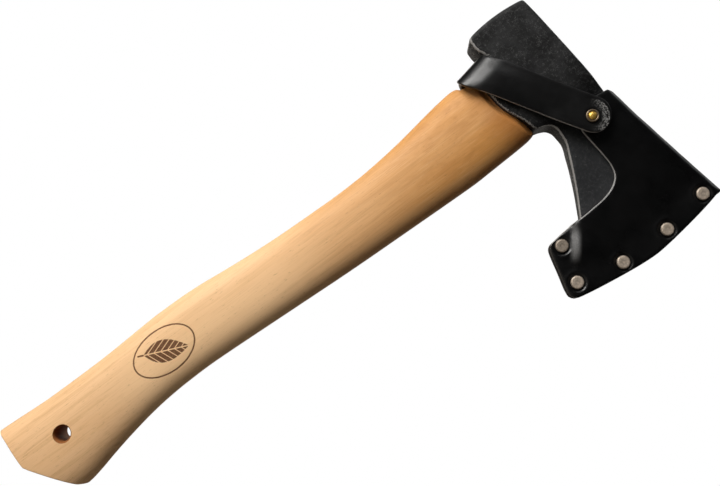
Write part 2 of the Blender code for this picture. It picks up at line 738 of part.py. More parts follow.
def make_seam_rivets():
    """A front piece with a post on the near face and a hollow back piece on the far face."""
    base = SEAM_HALF_GAP + LEATHER + GAP
    post_tip = 0.8  # past the base of the back piece
    rim, height, post = RIVET_HEAD_R, RIVET_HEAD_H, RIVET_POST_R
    head = raised(base, [
        (0, height), (rim - 1.0, height), (rim - 0.45, height - 0.14), (rim - 0.1, height - 0.5),
        (rim, height - 0.95), (rim - 0.08, 0.25), (rim - 0.4, 0),
    ])
    front = head + [
        (post, base), (post, -base - 0.55), (post - 0.3, -base - post_tip), (0, -base - post_tip),
    ]
    hollow, floor = post + GAP, post_tip + GAP
    back = head + raised(base, [(hollow, 0), (hollow, floor), (0, floor)])
    made = []
    for number, (x, z) in enumerate(RIVETS, 1):
        made.append(turned(f"seam_rivet_{number}_front", front, x, z, NICKEL))
        made.append(turned(f"seam_rivet_{number}_back", back, x, z, NICKEL, side=-1.0))
    return made


# ---------------------------------------------------------------- strap
TAB_LOWER = STRAP_LOWER + [(24.4, 333.2), (39.06, 342.5)]
TAB_UPPER = STRAP_UPPER + [(-5.9, 337.7), (15.0, 350.8), (28.54, 359.3)]
TAB_TIP_R = 9.9
TAB_TIP_STEPS = 12
TAB_ACROSS = (-0.5316, 0.847)  # (x, z) direction across the tab, upward


def make_tab():
    """The near arm of the strap, ending in a half round about the snap."""
    start = math.degrees(math.atan2(-TAB_ACROSS[1], -TAB_ACROSS[0]))
    tip = []
    for i in range(TAB_TIP_STEPS + 1):
        angle = math.radians(start + 180 * i / TAB_TIP_STEPS)
        x = SNAP_X + TAB_TIP_R * math.cos(angle)
        tip.append(np.array((x, SNAP_Z + TAB_TIP_R * math.sin(angle))))
    outline = joined(
        curve(TAB_LOWER, 6.0), tip, curve(TAB_UPPER[::-1], 6.0), curve([REAR_HIGH, REAR_LOW], 5.0)
    )
    grid = [np.array((x, z)) for x in np.arange(-20, 42, 7.0) for z in np.arange(306, 360, 7.0)]
    holes = [circle(SNAP_X, SNAP_Z, 2.5, 16)]
    shape = thick_sheet(outline, holes, grid, level_plane(-STRAP_MID_Y), STRAP_LEATHER)
    return solid("strap_tab", shape, STRAP_BLACK)


def make_wrap():
    """The band behind the neck: a rounded U seen from above, leaning with the neck."""
    corner = []
    for k in range(9):
        angle = math.pi / 2 * k / 8
        x = REAR_X - CORNER_R * math.sin(angle)
        corner.append((x, -STRAP_MID_Y + CORNER_R * (1 - math.cos(angle))))
    flat = STRAP_MID_Y - CORNER_R
    straight = [(REAR_X - CORNER_R, -flat + 2 * flat * k / 6) for k in range(1, 6)]
    path = corner + straight + [(x, -y) for x, y in reversed(corner)]
    path = [np.array(point) for point in path]

    last = len(path) - 1
    lean = np.array((REAR_LEAN, 0.0, 1.0))
    half_height = (REAR_HIGH[1] - REAR_LOW[1]) / 2
    rings = []
    for i, point in enumerate(path):
        along = path[min(i + 1, last)] - path[max(i - 1, 0)]
        along /= np.linalg.norm(along)
        normal = np.array((along[1], -along[0]))
        setback = GAP if i in (0, last) else 0.0
        ring = []
        for side, levels in ((-1, (-1, 0, 1)), (1, (1, 0, -1))):
            x, y = point + normal * side * STRAP_LEATHER / 2
            for level in levels:
                base = np.array((x - setback, y, REAR_Z))
                ring.append(tuple(base + lean * level * half_height))
        rings.append(ring)
    return solid("strap_wrap", rings_shape(rings), STRAP_BLACK)


# ---------------------------------------------------------------- snap
# Distances from the middle plane towards the near side
SNAP_PANEL_IN = PANEL_IN(SNAP_X)
SNAP_PANEL_OUT = SNAP_PANEL_IN + LEATHER
TAB_IN, TAB_OUT = STRAP_MID_Y - STRAP_LEATHER / 2, STRAP_MID_Y + STRAP_LEATHER / 2


def snap_piece(name, profile, look=NICKEL, segments=20):
    return turned(name, profile, SNAP_X, SNAP_Z, look, segments)


def make_tab_snap():
    """The ring, dome and socket carried by the tab."""
    ring = raised(TAB_OUT, [
        (1.6, 0.3), (3.45, 0.3), (3.6, 0.55), (3.5, 1.0), (3.1, 1.3), (2.65, 1.3), (2.35, 1.05),
        (2.35, 0.6), (1.6, 0.6),
    ])
    dome = raised(TAB_OUT, [
        (0, 2.3), (0.8, 2.2), (1.45, 1.85), (1.9, 1.35), (2.05, 0.9), (1.25, 0.9),
    ])
    dome += raised(TAB_IN, [(1.25, 0.6), (0, 0.6)])
    socket = raised(TAB_IN, [(1.9, -0.9), (3.7, -0.9), (3.7, -0.3), (2.15, -0.3)])
    socket += raised(TAB_OUT, [(2.15, -0.4), (1.62, -0.4)])
    socket += raised(TAB_IN, [(1.62, 0.25), (1.9, 0.05)])
    return [
        snap_piece("snap_cap_ring", ring),
        snap_piece("snap_dome", dome, BRASS),
        snap_piece("snap_socket", socket),
    ]


def make_panel_snap():
    """The stud on the near panel and the rivet through the leather that holds it."""
    stud = raised(SNAP_PANEL_OUT, [
        (0.95, 0.45), (3.3, 0.45), (3.35, 0.95), (1.7, 1.1), (1.25, 1.3), (1.25, 1.7),
        (1.5, 1.9), (1.5, 2.1), (1.2, 2.25), (0, 2.25), (0, 1.5), (0.95, 1.5),
    ])
    rivet = raised(SNAP_PANEL_IN, [
        (0, -0.85), (2.4, -0.85), (2.6, -0.65), (2.5, -0.4), (0.65, -0.4),
    ])
    rivet += raised(SNAP_PANEL_OUT, [(0.65, 1.2), (0, 1.2)])
    return [snap_piece("snap_stud", stud), snap_piece("snap_stud_rivet", rivet, segments=16)]


# ---------------------------------------------------------------- joint axes
def axis_empty(name, x, y, z, direction, parent, pieces):
    """An empty with its local Z along a joint's axis, carrying the pieces that turn about it."""
    empty = bpy.data.objects.new(name, None)
    empty.rotation_mode = "QUATERNION"
    empty.rotation_quaternion = Vector(direction).to_track_quat("Z", "Y")
    empty.location = ((x + AXIS_X) * MM, y * MM, z * MM)
    bpy.context.scene.collection.objects.link(empty)
    bpy.context.view_layer.update()
    if parent:
        empty.parent = parent
        empty.matrix_parent_inverse = parent.matrix_world.inverted()
        bpy.context.view_layer.update()
    for piece in pieces:
        piece.parent = empty
        piece.matrix_parent_inverse = empty.matrix_world.inverted()
    return empty


def add_joints(sheath_pieces, wrap, tab_pieces):
    """The sheath rolls off; the wrap turns on the sheath's far side and the tab on the wrap."""
    pivot_x, pivot_z = SHEATH_PIVOT
    off_axis = axis_empty(
        "sheath_off_axis", pivot_x, 0.0, pivot_z, (0, 1, 0), None, sheath_pieces
    )
    # The lines lean forward at the foot, so the strap drops clear of the poll as it opens.
    line = (AXIS_LEAN, 0.0, -1.0)
    wrap_axis = axis_empty(
        "wrap_open_axis", REAR_X, STRAP_MID_Y, REAR_Z, line, off_axis, [wrap]
    )
    axis_empty("strap_open_axis", REAR_X, -STRAP_MID_Y, REAR_Z, line, wrap_axis, tab_pieces)


make_handle_and_wedges()
make_head()
sheath = [make_sheath_leather(), make_welt()] + make_seam_rivets()
strap_tab = make_tab()
strap_wrap = make_wrap()
tab_snap = make_tab_snap()
add_joints(sheath + make_panel_snap(), strap_wrap, [strap_tab] + tab_snap)
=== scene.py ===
import math

import bmesh
import bpy
import numpy as np
from mathutils import Matrix, Vector, noise
from mathutils.geometry import delaunay_2d_cdt


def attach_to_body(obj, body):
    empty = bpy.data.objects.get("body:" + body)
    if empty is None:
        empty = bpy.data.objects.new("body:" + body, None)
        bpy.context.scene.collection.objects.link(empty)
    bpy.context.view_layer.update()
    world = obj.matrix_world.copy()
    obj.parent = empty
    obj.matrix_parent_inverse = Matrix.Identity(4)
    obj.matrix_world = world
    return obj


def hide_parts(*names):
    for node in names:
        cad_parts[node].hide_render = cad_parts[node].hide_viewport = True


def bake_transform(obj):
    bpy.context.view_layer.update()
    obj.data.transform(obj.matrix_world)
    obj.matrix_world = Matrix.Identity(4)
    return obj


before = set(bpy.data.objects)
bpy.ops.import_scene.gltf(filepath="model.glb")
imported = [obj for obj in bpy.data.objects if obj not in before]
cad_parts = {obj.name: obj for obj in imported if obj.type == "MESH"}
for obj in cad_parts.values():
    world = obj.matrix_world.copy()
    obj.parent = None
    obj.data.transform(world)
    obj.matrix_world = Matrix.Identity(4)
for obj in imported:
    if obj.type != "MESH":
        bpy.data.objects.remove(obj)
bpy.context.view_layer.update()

MM = 0.001
AXIS_X = -36.9  # the eye axis in the frame


def to_metres(point):
    return ((point[0] + AXIS_X) * MM, point[1] * MM, point[2] * MM)


# ---------------------------------------------------------------- curves
def slopes(xs, ys):
    """Slopes that keep a cubic through the points from overshooting."""
    steps = np.diff(xs)
    rates = np.diff(ys) / steps
    result = np.zeros(len(xs))
    result[0], result[-1] = rates[0], rates[-1]
    for i in range(1, len(xs) - 1):
        if rates[i - 1] * rates[i] > 0:
            before = 2 * steps[i] + steps[i - 1]
            after = steps[i] + 2 * steps[i - 1]
            result[i] = (before + after) / (before / rates[i - 1] + after / rates[i])
    return result


class Table:
    """A smooth function through (x, y) pairs, flat beyond its ends."""

    def __init__(self, pairs):
        self.xs = np.array([pair[0] for pair in pairs], float)
        self.ys = np.array([pair[1] for pair in pairs], float)
        self.slopes = slopes(self.xs, self.ys)

    def __call__(self, x):
        x = min(max(x, self.xs[0]), self.xs[-1])
        i = int(min(np.searchsorted(self.xs, x, side="right") - 1, len(self.xs) - 2))
        span = self.xs[i + 1] - self.xs[i]
        t = (x - self.xs[i]) / span
        return float(
            (2 * t**3 - 3 * t**2 + 1) * self.ys[i]
            + (t**3 - 2 * t**2 + t) * span * self.slopes[i]
            + (-2 * t**3 + 3 * t**2) * self.ys[i + 1]
            + (t**3 - t**2) * span * self.slopes[i + 1]
        )


def clamp(value):
    return min(max(value, 0.0), 1.0)


def ease(value, start, width):
    """0 below start, 1 from width above it, smooth between."""
    t = clamp((value - start) / width)
    return t * t * (3 - 2 * t)


def ease_down(value, start, width):
    """0 above start, 1 from width below it, smooth between."""
    return ease(start, value, width)


def bell(value, centre, width):
    return math.exp(-(((value - centre) / width) ** 2))


def lerp(start, end, t):
    return start + (end - start) * t


def soft_max(first, second, blend):
    return (first + second + math.sqrt((first - second) ** 2 + blend * blend)) / 2


def curve(points, step):
    """Points about every step along a centripetal Catmull-Rom curve, ends included."""
    knots = [np.array(point, float) for point in points]
    if len(knots) == 2:
        start, end = knots
        count = max(1, int(round(np.linalg.norm(end - start) / step)))
        return [start + (end - start) * i / count for i in range(count + 1)]
    knots = [2 * knots[0] - knots[1]] + knots + [2 * knots[-1] - knots[-2]]
    out = []
    for i in range(1, len(knots) - 2):
        p0, p1, p2, p3 = knots[i - 1 : i + 3]
        t1 = np.linalg.norm(p1 - p0) ** 0.5
        t2 = t1 + np.linalg.norm(p2 - p1) ** 0.5
        t3 = t2 + np.linalg.norm(p3 - p2) ** 0.5
        count = max(1, int(round(np.linalg.norm(p2 - p1) / step)))
        for k in range(count):
            t = t1 + (t2 - t1) * k / count
            low = p0 * (t1 - t) / t1 + p1 * t / t1
            middle = p1 * (t2 - t) / (t2 - t1) + p2 * (t - t1) / (t2 - t1)
            high = p2 * (t3 - t) / (t3 - t2) + p3 * (t - t2) / (t3 - t2)
            first = low * (t2 - t) / t2 + middle * t / t2
            second = middle * (t3 - t) / (t3 - t1) + high * (t - t1) / (t3 - t1)
            out.append(first * (t2 - t) / (t2 - t1) + second * (t - t1) / (t2 - t1))
    out.append(knots[-2])
    return out


def joined(*runs):
    """The runs as one loop, without points that crowd the one before."""
    nearest = 0.25
    out = []
    for run in runs:
        for point in run:
            if not out or np.linalg.norm(out[-1] - point) > nearest:
                out.append(np.array(point, float))
    while np.linalg.norm(out[0] - out[-1]) < nearest:
        out.pop()
    return out


def circle(x, z, radius, count=28):
    turns = [2 * math.pi * k / count for k in range(count)]
    return [np.array((x + radius * math.cos(a), z + radius * math.sin(a))) for a in turns]


def oval_point(back, front, half, power, angle):
    """A point on a superellipse that runs back to front in x and half either way in y."""
    cos, sin = math.cos(angle), math.sin(angle)
    middle, radius = (back + front) / 2, (front - back) / 2
    x = middle + radius * math.copysign(abs(cos) ** (2 / power), cos)
    return x, half * math.copysign(abs(sin) ** (2 / power), sin)


def wobble(x, y, z, seed):
    """Smooth noise about -1 to 1."""
    return noise.noise(Vector((x + seed, y - seed * 0.7, z + seed * 1.3)))


# ---------------------------------------------------------------- shader building
class Value:
    """A shader output; arithmetic on it adds math nodes."""

    def __init__(self, owner, socket):
        self.owner = owner
        self.socket = socket

    def __add__(self, other):
        return self.owner.math("ADD", self, other)

    def __radd__(self, other):
        return self.owner.math("ADD", other, self)

    def __sub__(self, other):
        return self.owner.math("SUBTRACT", self, other)

    def __rsub__(self, other):
        return self.owner.math("SUBTRACT", other, self)

    def __mul__(self, other):
        return self.owner.math("MULTIPLY", self, other)

    def __truediv__(self, other):
        return self.owner.math("DIVIDE", self, other)

    def __abs__(self):
        return self.owner.math("ABSOLUTE", self)

    def sqrt(self):
        return self.owner.math("SQRT", self)

    def fract(self):
        return self.owner.math("FRACT", self)

    def max(self, other):
        return self.owner.math("MAXIMUM", self, other)

    def rise(self, start, end, before=0.0, after=1.0):
        """before up to start, after past end, smooth between."""
        inputs = {"Value": self, "From Min": start, "From Max": end}
        inputs.update({"To Min": before, "To Max": after})
        return self.owner.node("MapRange", inputs, "Result", interpolation_type="SMOOTHSTEP")

    def fall(self, start, end):
        return self.rise(start, end, before=1.0, after=0.0)


class Material:
    """A node material; point is the place on the object in millimetres of the frame."""

    def __init__(self, name):
        self.material = bpy.data.materials.new(name)
        self.material.use_nodes = True
        self.tree = self.material.node_tree
        self.shader = self.tree.nodes["Principled BSDF"]
        place = self.node("TexCoord", {}, "Object")
        self.point = self.vector_math("MULTIPLY", place, (1000.0, 1000.0, 1000.0))

    def put(self, socket, value):
        if isinstance(value, Value):
            self.tree.links.new(value.socket, socket)
        elif socket.type == "RGBA":
            socket.default_value = (*value, 1.0)
        else:
            socket.default_value = value

    def node(self, kind, inputs, output=0, **settings):
        node = self.tree.nodes.new("ShaderNode" + kind)
        for key, setting in settings.items():
            setattr(node, key, setting)
        for key, value in inputs.items():
            if value is not None:
                self.put(node.inputs[key], value)
        return Value(self, node.outputs[output])

    def math(self, operation, *values):
        return self.node("Math", dict(enumerate(values)), operation=operation)

    def vector_math(self, operation, first, second):
        return self.node("VectorMath", {0: first, 1: second}, "Vector", operation=operation)

    def xyz(self):
        node = self.tree.nodes.new("ShaderNodeSeparateXYZ")
        self.put(node.inputs[0], self.point)
        return [Value(self, output) for output in node.outputs]

    def noise(self, scale, detail, rough=0.5, stretch=None, distortion=0.0):
        """Noise per millimetre; stretch scales the three axes, and a small one draws it out."""
        place = self.point
        if stretch is not None:
            place = self.vector_math("MULTIPLY", place, stretch)
        inputs = {"Vector": place, "Scale": scale, "Detail": detail}
        inputs.update({"Roughness": rough, "Distortion": distortion})
        return self.node("TexNoise", inputs, "Fac")

    def cells(self, scale, feature="F1", place=None, smoothness=None):
        inputs = {"Vector": place or self.point, "Scale": scale, "Smoothness": smoothness}
        return self.node("TexVoronoi", inputs, "Distance", feature=feature)

    def mix(self, amount, under, over):
        return self.node("Mix", {0: amount, 6: under, 7: over}, 2, data_type="RGBA")

    def mix_value(self, amount, under, over):
        return self.node("Mix", {0: amount, 2: under, 3: over}, 0, data_type="FLOAT")

    def attribute(self, name):
        return self.node("Attribute", {}, "Fac", attribute_name=name)

    def bump(self, height, depth, strength=1.0, normal=None):
        """depth is in millimetres."""
        inputs = {"Height": height, "Distance": depth * MM}
        inputs.update({"Strength": strength, "Normal": normal})
        return self.node("Bump", inputs, "Normal")

    def finish(self, colour, rough, metal, normal, specular):
        self.put(self.shader.inputs["Base Color"], colour)
        self.put(self.shader.inputs["Roughness"], rough)
        self.put(self.shader.inputs["Metallic"], metal)
        self.put(self.shader.inputs["Specular IOR Level"], specular)
        self.put(self.shader.inputs["Normal"], normal)
        return self.material


# ---------------------------------------------------------------- materials
SNAP_X, SNAP_Z = 34.3, 349.6
# Heel of the blade under the leather, and the direction across its edge in x and z.
BLADE_HEEL_X, BLADE_HEEL_Z = 84.0, 301.8
HEEL_ACROSS_X, HEEL_ACROSS_Z = 0.6247, 0.7809


def burned_mark(mat, x, y, z, burn_noise):
    """An oval line round a veined leaf with a stalk, on the near face: 1 where burned."""
    mark_x, mark_z, half_long, half_wide = -1.8 + AXIS_X, 94.5, 17.7, 11.4
    lean = math.radians(24.0)
    # distance from the oval: its equation over the length of its gradient
    long = (z - mark_z) * (1.0 / half_long)
    wide = (x - mark_x) * (1.0 / half_wide)
    level = (long * long + wide * wide).sqrt()
    long_slope, wide_slope = long * (1.0 / half_long), wide * (1.0 / half_wide)
    slope = (long_slope * long_slope + wide_slope * wide_slope + 1e-6).sqrt()
    away = abs((level - 1.0) * level / slope)
    ring = (away + (burn_noise - 0.5) * 0.35).fall(0.24, 0.52)
    # leaf, measured along and away from its own leaning midrib
    up, side = z - mark_z, x - mark_x
    along = up * math.cos(lean) + side * math.sin(lean)
    off_rib = abs(side * math.cos(lean) - up * math.sin(lean))
    leaf_middle, leaf_half_length, vein_pitch = 1.2, 12.2, 3.6
    part = (along - leaf_middle) * (1.0 / leaf_half_length)
    leaf_half_width = (1.0 - part * part) * (6.0 - part * 1.5)
    inside = (leaf_half_width - (off_rib + (burn_noise - 0.5) * 0.7)).rise(0.0, 0.35)
    inside = inside * abs(part).fall(0.98, 1.0)
    rib = off_rib.rise(0.18, 0.42)
    veins = abs(((along - off_rib * 1.05) * (1.0 / vein_pitch) + 40.0).fract() - 0.5)
    leaf = inside * rib * veins.rise(0.05, 0.12)
    stalk = off_rib.fall(0.30, 0.55) * (along.rise(-14.4, -14.0) * along.fall(-11.0, -10.6))
    near_face = y.rise(-1.0, -3.0)
    return ring.max(leaf.max(stalk)) * near_face


def wood_material():
    mat = Material("ash_wood")
    x, y, z = mat.xyz()
    # fibres run up the haft: stretched noise at three widths
    fine = mat.noise(scale=1.9, detail=5.0, rough=0.62, stretch=(1.0, 1.0, 0.03))
    medium = mat.noise(
        scale=0.36, detail=4.0, rough=0.55, stretch=(1.0, 1.0, 0.03), distortion=0.3
    )
    broad = mat.noise(scale=0.07, detail=3.0, stretch=(1.0, 1.0, 0.12))
    pore = mat.noise(scale=2.9, detail=2.0, stretch=(1.0, 1.0, 0.11))
    mottle = mat.noise(
        scale=0.17, detail=5.0, rough=0.65, stretch=(1.0, 1.0, 0.30), distortion=0.6
    )
    height = z.rise(40.0, 300.0)
    # pale at the butt, warmer towards the head
    warm = height * height * 0.84 + (broad - 0.5) * 0.9
    colour = mat.mix(warm, (0.835, 0.528, 0.280), (0.600, 0.278, 0.076))
    # grain: brown lines, then darker and paler fibres
    colour = mat.mix(medium.rise(0.47, 0.66) * 0.24, colour, (0.50, 0.255, 0.09))
    colour = mat.mix(fine.rise(0.50, 0.72) * 0.30, colour, (0.42, 0.205, 0.07))
    colour = mat.mix(fine.rise(0.50, 0.25) * 0.18, colour, (0.88, 0.64, 0.38))
    # brown blotches below the head
    near_head = z.rise(215.0, 300.0)
    blotch = mottle.rise(0.42, 0.68) * near_head
    colour = mat.mix(blotch * 0.42, colour, (0.42, 0.175, 0.045))
    # painted light on the grip: lightened most towards the front, which turns from the key
    # light, and less so on the rear side
    painted_grip_light = z.rise(48.0, 84.0) * z.fall(140.0, 205.0)
    painted_grip_light = painted_grip_light * x.rise(AXIS_X - 12.0, AXIS_X + 11.0, before=0.30)
    colour = mat.mix(painted_grip_light * 0.62, colour, (1.0, 0.68, 0.385))
    # dark pores, and a dark shoulder under the head
    flecks = pore.rise(0.66, 0.74)
    colour = mat.mix(flecks * 0.42, colour, (0.24, 0.105, 0.035))
    colour = mat.mix(z.rise(296.0, 316.0) * 0.55, colour, (0.36, 0.13, 0.03))
    burn_noise = mat.noise(scale=1.7, detail=3.0, rough=0.6)
    mark = burned_mark(mat, x, y, z, burn_noise)
    colour = mat.mix(mark * (0.72 + burn_noise * 0.4), colour, (0.105, 0.034, 0.012))
    rough = 0.47 + fine * 0.16 + mark * 0.2
    relief = (fine * 0.6 + medium * 0.5) - (flecks * 0.8 + mark * 1.6)
    normal = mat.bump(relief, depth=0.055, strength=0.9)
    return mat.finish(colour, rough, metal=0.0, normal=normal, specular=0.24)


def bored_wood_material():
    mat = Material("bored_wood")
    ring = mat.noise(scale=1.2, detail=4.0, rough=0.6, stretch=(1.0, 0.12, 1.0))
    colour = mat.mix(ring, (0.20, 0.064, 0.016), (0.33, 0.130, 0.040))
    normal = mat.bump(ring, depth=0.1)
    return mat.finish(colour, rough=0.75, metal=0.0, normal=normal, specular=0.2)


def wedge_material():
    mat = Material("wedge_wood")
    fine = mat.noise(scale=1.3, detail=5.0, rough=0.6, stretch=(1.0, 1.0, 0.05))
    bands = mat.noise(scale=0.5, detail=3.0, stretch=(0.3, 1.0, 0.05))
    colour = mat.mix(fine, (0.46, 0.27, 0.12), (0.62, 0.42, 0.22))
    colour = mat.mix(bands.rise(0.45, 0.6) * 0.5, colour, (0.30, 0.15, 0.06))
    normal = mat.bump(fine, depth=0.06)
    return mat.finish(colour, 0.55 + fine * 0.2, metal=0.0, normal=normal, specular=0.3)


def steel_material():
    """Black forge scale; bare metal, partly painted highlight, where the wear attribute is 1;
    ground steel where ground is 1.
    """
    mat = Material("black_forged_steel")
    x = mat.xyz()[0]
    cloud = mat.noise(scale=0.09, detail=4.0, rough=0.6)
    scale = mat.noise(scale=0.55, detail=5.0, rough=0.65)
    grit = mat.noise(scale=2.6, detail=3.0, rough=0.6)
    speck = mat.noise(scale=4.2, detail=2.0)
    black, dark_grey = (0.0046, 0.0047, 0.0049), (0.0168, 0.0171, 0.0178)
    colour = mat.mix(cloud.rise(0.34, 0.66), black, dark_grey)
    colour = mat.mix(scale.rise(0.50, 0.72) * 0.55, colour, (0.034, 0.0342, 0.035))
    specks = speck.rise(0.60, 0.66) * scale.rise(0.42, 0.60)
    # the cheek towards the bit is greyer
    cheek = x.rise(AXIS_X + 22.0, AXIS_X + 34.0)
    colour = mat.mix(cheek * 0.44, colour, (0.052, 0.055, 0.060))
    colour = mat.mix(specks * 0.8, colour, (0.17, 0.17, 0.168))
    # bare metal on the edges that rub, in broken chips; on the lower edges and undersides this
    # grey is also painted highlight
    wear_and_highlight = mat.attribute("wear_and_highlight")
    chips = mat.noise(scale=1.15, detail=4.0, rough=0.7)
    worn_and_lit = (wear_and_highlight * 0.62 + (chips - 0.5) * 1.5).rise(0.42, 0.62)
    colour = mat.mix(worn_and_lit * 0.85, colour, (0.36, 0.355, 0.345))
    # ground bit, scratched up and down
    ground = mat.attribute("ground")
    scratch = mat.noise(scale=2.4, detail=3.0, rough=0.6, stretch=(1.0, 1.0, 0.05))
    scratched = mat.mix(scratch, (0.30, 0.30, 0.30), (0.52, 0.52, 0.51))
    colour = mat.mix(ground, colour, scratched)
    metal = (0.25 + worn_and_lit * 0.12).max(ground)
    rough = 0.40 + cloud * 0.16 + grit * 0.14
    rough = mat.mix_value(ground, rough, 0.34)
    rough = mat.mix_value(worn_and_lit, rough, 0.36)
    relief = (scale * 1.0 + grit * 0.45) + (specks * 0.25 - worn_and_lit * 0.4)
    normal = mat.bump(relief * (1.0 - ground * 0.85), depth=0.075, strength=0.9)
    return mat.finish(colour, rough, metal, normal, specular=0.30)


def ring_steel_material():
    mat = Material("ring_steel")
    fine = mat.noise(scale=1.5, detail=4.0, rough=0.6)
    rust = mat.noise(scale=0.4, detail=3.0)
    colour = mat.mix(fine, (0.20, 0.20, 0.205), (0.36, 0.355, 0.35))
    colour = mat.mix(rust.rise(0.52, 0.68) * 0.6, colour, (0.16, 0.08, 0.04))
    normal = mat.bump(fine, depth=0.04)
    return mat.finish(colour, 0.28 + fine * 0.3, metal=1.0, normal=normal, specular=0.5)


def add_painted_tab_sheen(mat, colour, x, z):
    """Painted reflection round the snap at the tab end: raised pebbles turned grey in a crescent
    past the snap.
    """
    reach = 9.7
    from_x, from_z = x - (SNAP_X + AXIS_X), z - SNAP_Z
    away = (from_x * from_x + from_z * from_z).sqrt()
    ahead = from_x * 0.58 + from_z * 0.81
    zone = away.rise(4.0, 6.4) * ahead.rise(-3.5, 8.0)
    zone = zone * away.fall(reach - 0.3, reach + 0.2)
    pebble = mat.cells(scale=1.25).fall(0.18, 0.72)
    # painted reflection on the pebbles past the snap
    return mat.mix(zone * zone * pebble * 0.95, colour, (0.33, 0.33, 0.325))


def add_painted_heel_highlight(mat, colour, rough, x, z):
    """Painted highlight over the heel of the blade: the grain on the lit flank of the ridge is
    greyed in a band and made duller.
    """
    from_x, from_z = x - (BLADE_HEEL_X + AXIS_X), z - BLADE_HEEL_Z
    across = from_x * HEEL_ACROSS_X + from_z * HEEL_ACROSS_Z
    along = from_x * HEEL_ACROSS_Z - from_z * HEEL_ACROSS_X
    band = abs(across + 0.2).fall(0.3, 3.6) * abs(along + 0.5).fall(2.0, 10.5)
    highlight_breakup = mat.noise(scale=1.6, detail=4.0, rough=0.65)
    amount = band * highlight_breakup.rise(0.25, 0.75, before=0.35)
    # painted highlight: grey where the ridge faces the light
    colour = mat.mix(amount, colour, (0.175, 0.175, 0.176))
    return colour, mat.mix_value(band, rough, 0.46)


def leather_material(
    name, base, sheen_rough, grain_size, grain_depth, gloss, tab_sheen_painted=False, heel_highlight_painted=False
):
    """Black pebbled grain; a raw fibrous edge where rim is 1, a napped side where flesh is 1."""
    mat = Material(name)
    x, y, z = mat.xyz()
    shift_x = mat.noise(scale=1.1, detail=2.0) * 0.6
    shift_y = mat.noise(scale=0.9, detail=2.0) * 0.6
    shift = mat.node("CombineXYZ", {0: shift_x, 1: shift_y, 2: 0.0})
    shifted = mat.vector_math("ADD", mat.point, shift)
    pebbles = mat.cells(scale=grain_size, feature="SMOOTH_F1", place=shifted, smoothness=0.35)
    crease = mat.cells(scale=grain_size * 0.42, feature="DISTANCE_TO_EDGE")
    fine = mat.noise(scale=5.5, detail=3.0, rough=0.6)
    patch = mat.noise(scale=0.07, detail=4.0, rough=0.6)
    dust = mat.noise(scale=3.0, detail=2.0, rough=0.6)
    colour = mat.mix(patch.rise(0.3, 0.7), base, tuple(part * 2.2 for part in base))
    dusty = dust.rise(0.68, 0.76) * patch.rise(0.42, 0.62)
    colour = mat.mix(dusty * 0.25, colour, (0.040, 0.038, 0.036))
    rough = sheen_rough + (patch - 0.5) * 0.22 + (fine - 0.5) * 0.12
    grain = pebbles * 0.8 + (fine * 0.22 + crease.rise(0.0, 0.12) * 0.25)
    normal = mat.bump(grain, depth=grain_depth, strength=0.85)
    # painted reflection round the snap on the strap tab
    if tab_sheen_painted:
        colour = add_painted_tab_sheen(mat, colour, x, z)
    # painted highlight over the heel of the blade
    if heel_highlight_painted:
        colour, rough = add_painted_heel_highlight(mat, colour, rough, x, z)
    rim = mat.attribute("rim")
    fibre = mat.noise(scale=2.2, detail=4.0, rough=0.7)
    raw = mat.mix(fibre, (0.17, 0.165, 0.16), (0.46, 0.45, 0.44))
    edge = (rim + (fibre - 0.5) * 0.5).rise(0.42, 0.72)
    colour = mat.mix(edge, colour, raw)
    rough = mat.mix_value(edge, rough, 0.85)
    flesh = mat.attribute("flesh")
    nap = mat.noise(scale=2.8, detail=5.0, rough=0.75)
    inner = mat.mix(nap, (0.020, 0.018, 0.016), (0.060, 0.054, 0.048))
    colour = mat.mix(flesh, colour, inner)
    rough = mat.mix_value(flesh, rough, 0.92)
    fuzz = (nap * flesh + fibre * edge) * 1.0
    normal = mat.bump(fuzz, depth=0.12, strength=0.8, normal=normal)
    specular = mat.mix_value(flesh.max(edge), gloss, 0.12)
    return mat.finish(colour, rough, 0.0, normal, specular)


def nickel_material():
    """Warm grey antique nickel with fine streaks, dark where tarnish is 1."""
    mat = Material("antique_nickel")
    x = mat.xyz()[0]
    smear = mat.noise(scale=0.8, detail=4.0, rough=0.6)
    fine = mat.noise(scale=4.5, detail=3.0, rough=0.6)
    streak = mat.noise(scale=2.6, detail=3.0, rough=0.6, stretch=(1.0, 1.0, 0.2))
    colour = mat.mix(smear.rise(0.35, 0.65), (0.50, 0.413, 0.325), (0.695, 0.584, 0.470))
    colour = mat.mix(streak.rise(0.45, 0.65) * 0.4, colour, (0.60, 0.54, 0.48))
    # painted shade: the cap at the heel of the blade is darkened, and with it every nickel part
    # short of x 86 in the frame, the snap's among them
    painted_nickel_shade = x.rise(AXIS_X + 86.0, AXIS_X + 94.0, before=0.36, after=0.0)
    colour = mat.mix(painted_nickel_shade, colour, (0.020, 0.017, 0.014))
    colour = mat.mix(mat.attribute("tarnish"), colour, (0.060, 0.044, 0.034))
    normal = mat.bump(fine + streak * 0.6, depth=0.03, strength=0.7)
    return mat.finish(colour, 0.36 + fine * 0.22, metal=0.55, normal=normal, specular=0.5)


def bronzed_material():
    mat = Material("bronzed_ring")
    fine = mat.noise(scale=3.0, detail=3.0, rough=0.6)
    colour = mat.mix(fine, (0.13, 0.090, 0.055), (0.34, 0.26, 0.175))
    normal = mat.bump(fine, depth=0.04)
    return mat.finish(colour, 0.30 + fine * 0.2, metal=0.85, normal=normal, specular=0.5)


